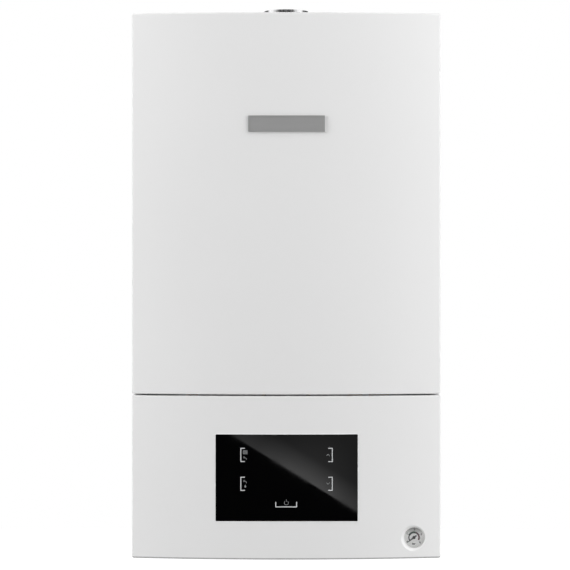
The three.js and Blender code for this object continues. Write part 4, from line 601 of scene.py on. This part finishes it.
def gauge_dial():
    form = bmesh.new()
    disc = [(0, 0), (DIAL_RADIUS, 0), (DIAL_RADIUS, 0.08), (0, 0.08)]
    turned(form, front_view, (GAUGE_X, GAUGE_HEIGHT, DIAL_FACE), disc, 48)
    add_piece("gauge_dial", form, dial_face, "control_panel")
    gauge_arc("gauge_scale_low", scale_black, SCALE_START, SCALE_GREEN, 1.4)
    gauge_arc("gauge_scale_green", scale_green, SCALE_GREEN, SCALE_RED, 2.4)
    gauge_arc("gauge_scale_red", scale_red, SCALE_RED, SCALE_END, 2.1)
    form = bmesh.new()
    low, high = DIAL_PRINT, DIAL_PRINT + 0.07

    def mark_line(angle, reach, width):
        ends = [gauge_point(angle, MARK_RADIUS), gauge_point(angle, MARK_RADIUS + reach)]
        stroke(form, front_view, ends, width, low, high)

    for mark in range(5):
        angle = SCALE_START - MARK_STEP * mark
        mark_line(angle, 1.1, 0.5)
        if mark < 4:
            mark_line(angle - HALF_MARK, 0.6, 0.35)
        u, v = gauge_point(angle - FIGURE_TURN, FIGURE_RADIUS)
        add_text(form, str(mark), 3.5, u, v, low, high)
    add_text(form, "bar", 3.2, GAUGE_X - 0.3, GAUGE_HEIGHT - 8.2, low, high)
    add_piece("gauge_figures", form, scale_black, "control_panel")
    form = bmesh.new()
    cap = [(0, 0), (2.1, 0), (2.1, 0.08), (1.5, 0.2), (0, 0.2)]
    turned(form, front_view, (GAUGE_X, GAUGE_HEIGHT, HUB_FRONT), cap, 20)
    add_piece("needle_cap", form, scale_black, "gauge_needle")


# Flue and top.
def top_details():
    form = bmesh.new()
    turned(form, top_view, (0, FLUE_DEPTH, 719.0), [
        (28.35, 0), (28.35, 3.6), (27.2, 3.2), (26.0, 2.0), (26.4, 1.4), (27.4, 0.6),
    ], 40, closed=True)
    add_piece("spigot_seal", form, rubber, "frame")
    form = bmesh.new()
    flange_top = TOP_SHEET + 1.9
    for turn in (45, 135, 225, 315):
        hex_screw(form, top_view, *on_circle(0, FLUE_DEPTH, 59.5, turn), flange_top, 3.8)
    for turn in (30, 150, 270):
        hex_screw(form, top_view, *on_circle(128, FLUE_DEPTH, 38.0, turn), flange_top, 3.4)
    for x in (-186, -100, 100, 186):
        hex_screw(form, top_view, x, 24, TOP_SHEET, 3.6)
    add_piece("top_plate_screws", form, screw_zinc, "frame")


# Burner chamber.
def chamber_details():
    form = bmesh.new()
    for x in (-178, 178):
        for height in (302, 400, 500, 600, 688):
            hex_screw(form, front_view, x, height, CHAMBER_FRONT, 3.8)
    for x in (-118, -40, 40, 118):
        hex_screw(form, front_view, x, 294.2, CHAMBER_FRONT, 3.8)
    for x in (-118, 118):
        hex_screw(form, front_view, x, 690, CHAMBER_FRONT, 3.8)
    for turn in (90, 210, 330):
        hex_screw(form, front_view, *on_circle(0, SIGHT_HEIGHT, 25.0, turn), CHAMBER_FRONT + 1.2, 3.0)
    add_piece("chamber_screws", form, screw_zinc, "frame")
    form = bmesh.new()
    turned(form, front_view, (0, SIGHT_HEIGHT, CHAMBER_FRONT), [
        (16.3, 0), (29.5, 0), (29.5, 0.9), (28.9, 1.2), (18.5, 1.2), (17.6, 2.2), (16.3, 2.4),
    ], 36, closed=True)
    add_piece("sight_glass_ring", form, stainless, "frame")


# Pipe connections.
def connection_details():
    form = bmesh.new()
    for x, radius in ((-130, 13.2), (-65, 10.5), (0, 13.2), (65, 10.5), (130, 13.2)):
        root, crest, pitch, turns = radius + 0.1, radius + 0.7, 1.8, 16
        profile = [(root - 1.2, 0.2), (root - 0.1, 0.2)]
        for i in range(turns):
            start = 1.2 + pitch * i
            profile += [(root, start), (crest, start + 0.7), (crest, start + 0.95), (root, start + 1.65)]
        profile += [(root, 30.6), (root - 1.2, 30.6)]
        turned(form, top_view, (x, STUB_DEPTH, -14.9), profile, 28, closed=True)
    add_piece("connection_threads", form, turned_brass, "frame")
    form = bmesh.new()
    for x, depth, height, pipe in ((-130, STUB_DEPTH, 160.7, 9.0), (130, STUB_DEPTH - 14, 190.7, 9.0),
                                   (0, 123, 270.7, 7.0)):
        nut, collar = pipe + 5.4, pipe + 2.8
        turned(form, top_view, (x, depth, height), [
            (pipe + 0.05, 0), (nut - 0.8, 0), (nut, 0.7), (nut, 9.3), (nut - 0.9, 10.0), (pipe + 0.05, 10.0),
        ], 6, closed=True)
        turned(form, top_view, (x, depth, height), [
            (pipe + 0.05, 9.6), (collar, 9.6), (collar, 12.4), (collar - 1.0, 13.2), (pipe + 0.05, 13.2),
        ], 24, closed=True)
    add_piece("union_nuts", form, turned_brass, "frame")
    form = bmesh.new()
    for x in (-176, -97, 33, 176):
        hex_screw(form, top_view, x, 134, 22.0, 3.6)
    add_piece("pipe_plate_screws", form, screw_zinc, "frame")


# Pump and gas valve.
def pump_details():
    form = bmesh.new()
    for turn in (45, 135, 225, 315):
        socket_screw(form, front_view, *on_circle(PUMP_X, PUMP_HEIGHT, 39.5, turn), 119.3, 3.2)
    add_piece("pump_bolts", form, screw_zinc, "frame")
    form = bmesh.new()
    fin = [(36.6, 0), (42.4, 0), (42.4, 1.1), (36.6, 1.1)]
    for i in range(5):
        turned(form, front_view, (PUMP_X, PUMP_HEIGHT, 123.4 + 3.0 * i), fin, 40, closed=True)
    for turn in range(15, 360, 30):
        ends = [on_circle(PUMP_X, PUMP_HEIGHT, radius, turn) for radius in (14.0, 33.0)]
        stroke(form, front_view, ends, 2.0, 190.0, 191.3)
    add_piece("pump_motor_fins", form, black_paint, "frame")
    form = bmesh.new()
    plug = [(0, 0), (8.6, 0), (8.6, 1.6), (7.8, 2.4), (0, 2.4)]
    turned(form, front_view, (PUMP_X, PUMP_HEIGHT, 191.7), plug, 28)
    arc = [math.radians(degrees) for degrees in range(0, 181, 20)]
    for side in (-1, 1):
        cheek = [(PUMP_X + side * (1.0 + 6.2 * math.sin(a)), PUMP_HEIGHT + 6.6 * math.cos(a)) for a in arc]
        prism(form, front_view, cheek, 194.0, 195.2)
    add_piece("pump_vent_screw", form, turned_brass, "frame")


def gas_valve_details():
    form = bmesh.new()
    for x in (-35, 35):
        for height in (180, 216, 252):
            socket_screw(form, front_view, x, height, VALVE_FRONT, 3.2)
    for x in (-20, 20):
        turned(form, front_view, (x, 232, 176.0), [(0, 0), (5.2, 0), (5.2, 3.2), (4.6, 3.8), (0, 3.8)], 6)
    add_piece("gas_valve_screws", form, screw_zinc, "frame")
    form = bmesh.new()
    for x in (-20, 20):
        wrap = [(13.9, 0), (15.6, 0.6), (15.6, 23.0), (13.9, 24.0)]
        turned(form, front_view, (x, 232, VALVE_FRONT + 1.2), wrap, 24, closed=True)
        prism(form, front_view, [(x - 6, 246), (x + 6, 246), (x + 6, 250.6), (x - 6, 250.6)], 150.0, 166.0)
    add_piece("gas_valve_coil_wraps", form, dark_plastic, "frame", bevel=0.0005)
    form = bmesh.new()
    for x in (-30, 30):
        turned(form, front_view, (x, 198, VALVE_FRONT), [
            (0, 0), (4.2, 0), (4.2, 3.0), (2.8, 4.0), (2.8, 8.6),
            (3.4, 9.2), (3.4, 10.6), (1.2, 10.6), (1.2, 8.0), (0, 8.0),
        ], 16)
    add_piece("gas_valve_test_points", form, turned_brass, "frame")


# Control box, back and cover.
def lid_screws():
    form = bmesh.new()
    for x in (-166, -16, 133):
        for height in (26, 182):
            hex_screw(form, rear_view, x, height, -LID_REAR, 3.0)
    add_piece("control_box_screws", form, screw_zinc, "control_panel")


def rear_rivets():
    form = bmesh.new()
    for x in (-196, 196):
        for height in (30, 180, 352, 525, 676):
            rivet(form, rear_view, x, height, -2.0, 2.6, 1.2)
    add_piece("rear_rivets", form, screw_zinc, "frame")


display_icons()
display_bead()
gauge_dial()
top_details()
chamber_details()
connection_details()
pump_details()
gas_valve_details()
lid_screws()
rear_rivets()


# Studio.
WORLD_LIGHT = 0.5
CARD_BEHIND = -2.946
CARD_HALF_WIDTH = 3.1
CARD_LOW = -1.5
CARD_HIGH = 1.0
PANE_GLOW = 2.2
FLUE_CARD_GLOW = 1.65
FLOOR_GLOW = 0.87
FLOOR_LEVEL = CASING_BOTTOM - 3.4
FLOOR_HALF = 24
STRIP_TARGET = (0.0, -0.28, -0.3)
BACK_TARGET = (0.0, 0.0, -0.3)


def white_to_seen_rays(tree, lit, white, output):
    """Camera, glossy and transmission rays get the white shader, every other ray the lit one."""
    path = add_node(tree, "ShaderNodeLightPath")
    seen = path.outputs["Is Camera Ray"]
    for kind in ("Is Glossy Ray", "Is Transmission Ray"):
        either = add_node(tree, "ShaderNodeMath", operation="MAXIMUM")
        tree.links.new(seen, either.inputs[0])
        tree.links.new(path.outputs[kind], either.inputs[1])
        seen = either.outputs[0]
    mix = add_node(tree, "ShaderNodeMixShader")
    tree.links.new(seen, mix.inputs["Fac"])
    tree.links.new(lit.outputs[0], mix.inputs[1])
    tree.links.new(white.outputs[0], mix.inputs[2])
    tree.links.new(mix.outputs[0], output.inputs["Surface"])


def make_world():
    world = bpy.data.worlds.new("studio")
    scene.world = world
    world.use_nodes = True
    tree = world.node_tree
    tree.nodes.clear()
    output = add_node(tree, "ShaderNodeOutputWorld")
    light = add_node(tree, "ShaderNodeBackground")
    light.inputs["Strength"].default_value = WORLD_LIGHT
    white = add_node(tree, "ShaderNodeBackground")
    white.inputs["Strength"].default_value = 1.0
    for shader in (light, white):
        shader.inputs["Color"].default_value = (1.0, 1.0, 1.0, 1.0)
    white_to_seen_rays(tree, light, white, output)


def area_light(name, location, target, width, height, power):
    data = bpy.data.lights.new(name, "AREA")
    data.shape = "RECTANGLE"
    data.size = width
    data.size_y = height
    data.energy = power
    lamp = bpy.data.objects.new(name, data)
    scene.collection.objects.link(lamp)
    lamp.location = location
    lamp.visible_camera = False
    lamp.visible_glossy = False
    direction = Vector(target) - Vector(location)
    lamp.rotation_euler = direction.to_track_quat("-Z", "Y").to_euler()


def stage_mesh(name, corners, material):
    mesh = bpy.data.meshes.new(name)
    mesh.from_pydata(corners, [], [tuple(range(len(corners)))])
    mesh.materials.append(material)
    item = bpy.data.objects.new(name, mesh)
    scene.collection.objects.link(item)
    return item


def floor_material():
    material, tree, shader = new_material("studio_floor")
    shader.inputs["Base Color"].default_value = (0.24, 0.24, 0.24, 1.0)
    shader.inputs["Roughness"].default_value = 0.6
    glow = add_node(tree, "ShaderNodeEmission")
    glow.inputs["Strength"].default_value = FLOOR_GLOW
    diffuse = add_node(tree, "ShaderNodeBsdfDiffuse")
    diffuse.inputs["Color"].default_value = (0.5, 0.5, 0.5, 1.0)
    both = add_node(tree, "ShaderNodeAddShader")
    tree.links.new(glow.outputs[0], both.inputs[0])
    tree.links.new(diffuse.outputs[0], both.inputs[1])
    white_to_seen_rays(tree, shader, both, tree.nodes["Material Output"])
    return material


def line_levels(tree, coords, start, end, stops):
    """Grey levels that change along the line from start to end, in the card's own coordinates."""
    along = Vector(end) - Vector(start)
    offset = add_node(tree, "ShaderNodeVectorMath", operation="SUBTRACT")
    offset.inputs[1].default_value = start
    tree.links.new(coords.outputs["Object"], offset.inputs[0])
    dot = add_node(tree, "ShaderNodeVectorMath", operation="DOT_PRODUCT")
    dot.inputs[1].default_value = along / along.length_squared
    tree.links.new(offset.outputs[0], dot.inputs[0])
    return ramp(tree, dot.outputs["Value"], [(position, grey(level)) for position, level in stops])


def add_glow(tree, strength):
    """The material's whole surface becomes an emission of this strength."""
    glow = add_node(tree, "ShaderNodeEmission")
    glow.inputs["Strength"].default_value = strength
    tree.links.new(glow.outputs[0], tree.nodes["Material Output"].inputs["Surface"])
    return glow


def card_material(name, across_line, across_stops, edge_line, edge_stops):
    """An emission with one set of levels across the pane and another along its edge."""
    material, tree, _ = new_material(name)
    coords = add_node(tree, "ShaderNodeTexCoord")
    across = line_levels(tree, coords, *across_line, across_stops)
    edge = line_levels(tree, coords, *edge_line, edge_stops)
    both = add_node(tree, "ShaderNodeVectorMath", operation="MULTIPLY")
    tree.links.new(across.outputs["Color"], both.inputs[0])
    tree.links.new(edge.outputs["Color"], both.inputs[1])
    glow = add_glow(tree, PANE_GLOW)
    tree.links.new(both.outputs[0], glow.inputs["Color"])
    return material


def glossy_only(card):
    card.visible_camera = False
    card.visible_diffuse = False
    card.visible_transmission = False
    card.visible_volume_scatter = False
    card.visible_shadow = False


def upright_card(name, half, y, low, high, material):
    corners = [(-half, y, low), (half, y, low), (half, y, high), (-half, y, high)]
    glossy_only(stage_mesh(name, corners, material))


def dark_card_material():
    material, _, shader = new_material("dark_room_card")
    shader.inputs["Base Color"].default_value = (0.0, 0.0, 0.0, 1.0)
    shader.inputs["Roughness"].default_value = 1.0
    shader.inputs["Specular IOR Level"].default_value = 0.0
    return material


def dark_and_bright_cards():
    """What gloss sees: a dark room behind the camera, and for the flue a dark card and two bright ones."""
    dark = dark_card_material()
    upright_card("dark_room_card", CARD_HALF_WIDTH, CARD_BEHIND, CARD_LOW, CARD_HIGH, dark)
    upright_card("black_flag_behind_flue", 3.2, 0.5, 0.12, 0.65, dark)
    bright, tree, _ = new_material("flue_side_card")
    add_glow(tree, FLUE_CARD_GLOW)
    front, rear, low, high = -0.6, 0.04, 0.03, 0.4
    for side, name in ((-1.0, "left_flue_card"), (1.0, "right_flue_card")):
        corners = [(side, front, low), (side, rear, low), (side, rear, high), (side, front, high)]
        glossy_only(stage_mesh(name, corners, bright))


def pane_card():
    """A lit pane with one slanting edge, which the display's glass reflects."""
    front = CARD_BEHIND + 0.004
    top, left, right = -0.715, -0.172, 0.215
    edge_start, edge_end = (-0.1373, front, -0.7361), (0.1862, front, -0.9343)
    pane = [edge_start, edge_end, (right, front, -0.952), (right, front, top), (left, front, top)]
    across = Vector((edge_end[2] - edge_start[2], 0.0, edge_start[0] - edge_end[0])).normalized()
    centre = (Vector(edge_start) + Vector(edge_end)) / 2
    across_stops = [(0.0, 0.72), (0.12, 0.5), (0.3, 0.2), (0.7, 0.13)]
    edge_stops = [(0.0, 0.4), (0.2, 0.48), (0.45, 0.9), (0.55, 1.0), (0.7, 1.0), (0.92, 0.68), (1.0, 0.6)]
    inwards = (centre, centre - across * 0.2)
    lit = card_material("lit_pane_card", inwards, across_stops, (edge_start, edge_end), edge_stops)
    glossy_only(stage_mesh("lit_pane_card", pane, lit))


make_world()
area_light("left_strip", (-0.66, -0.62, -0.2), STRIP_TARGET, 0.5, 2.8, 8.05)
area_light("right_strip", (0.66, -0.62, -0.2), STRIP_TARGET, 0.5, 2.8, 9.4)
area_light("top_softbox", (0.05, -0.9, 1.5), (0.0, -0.25, -0.05), 1.2, 0.7, 3.0)
area_light("back_left_softbox", (-1.5, 2.2, 0.6), BACK_TARGET, 1.4, 1.8, 22.0)
area_light("back_right_softbox", (1.5, 2.2, 0.6), BACK_TARGET, 1.4, 1.8, 22.0)
stage_mesh(
    "studio_floor",
    [
        (-FLOOR_HALF, -FLOOR_HALF, FLOOR_LEVEL),
        (FLOOR_HALF, -FLOOR_HALF, FLOOR_LEVEL),
        (FLOOR_HALF, FLOOR_HALF, FLOOR_LEVEL),
        (-FLOOR_HALF, FLOOR_HALF, FLOOR_LEVEL),
    ],
    floor_material(),
)
dark_and_bright_cards()
pane_card()
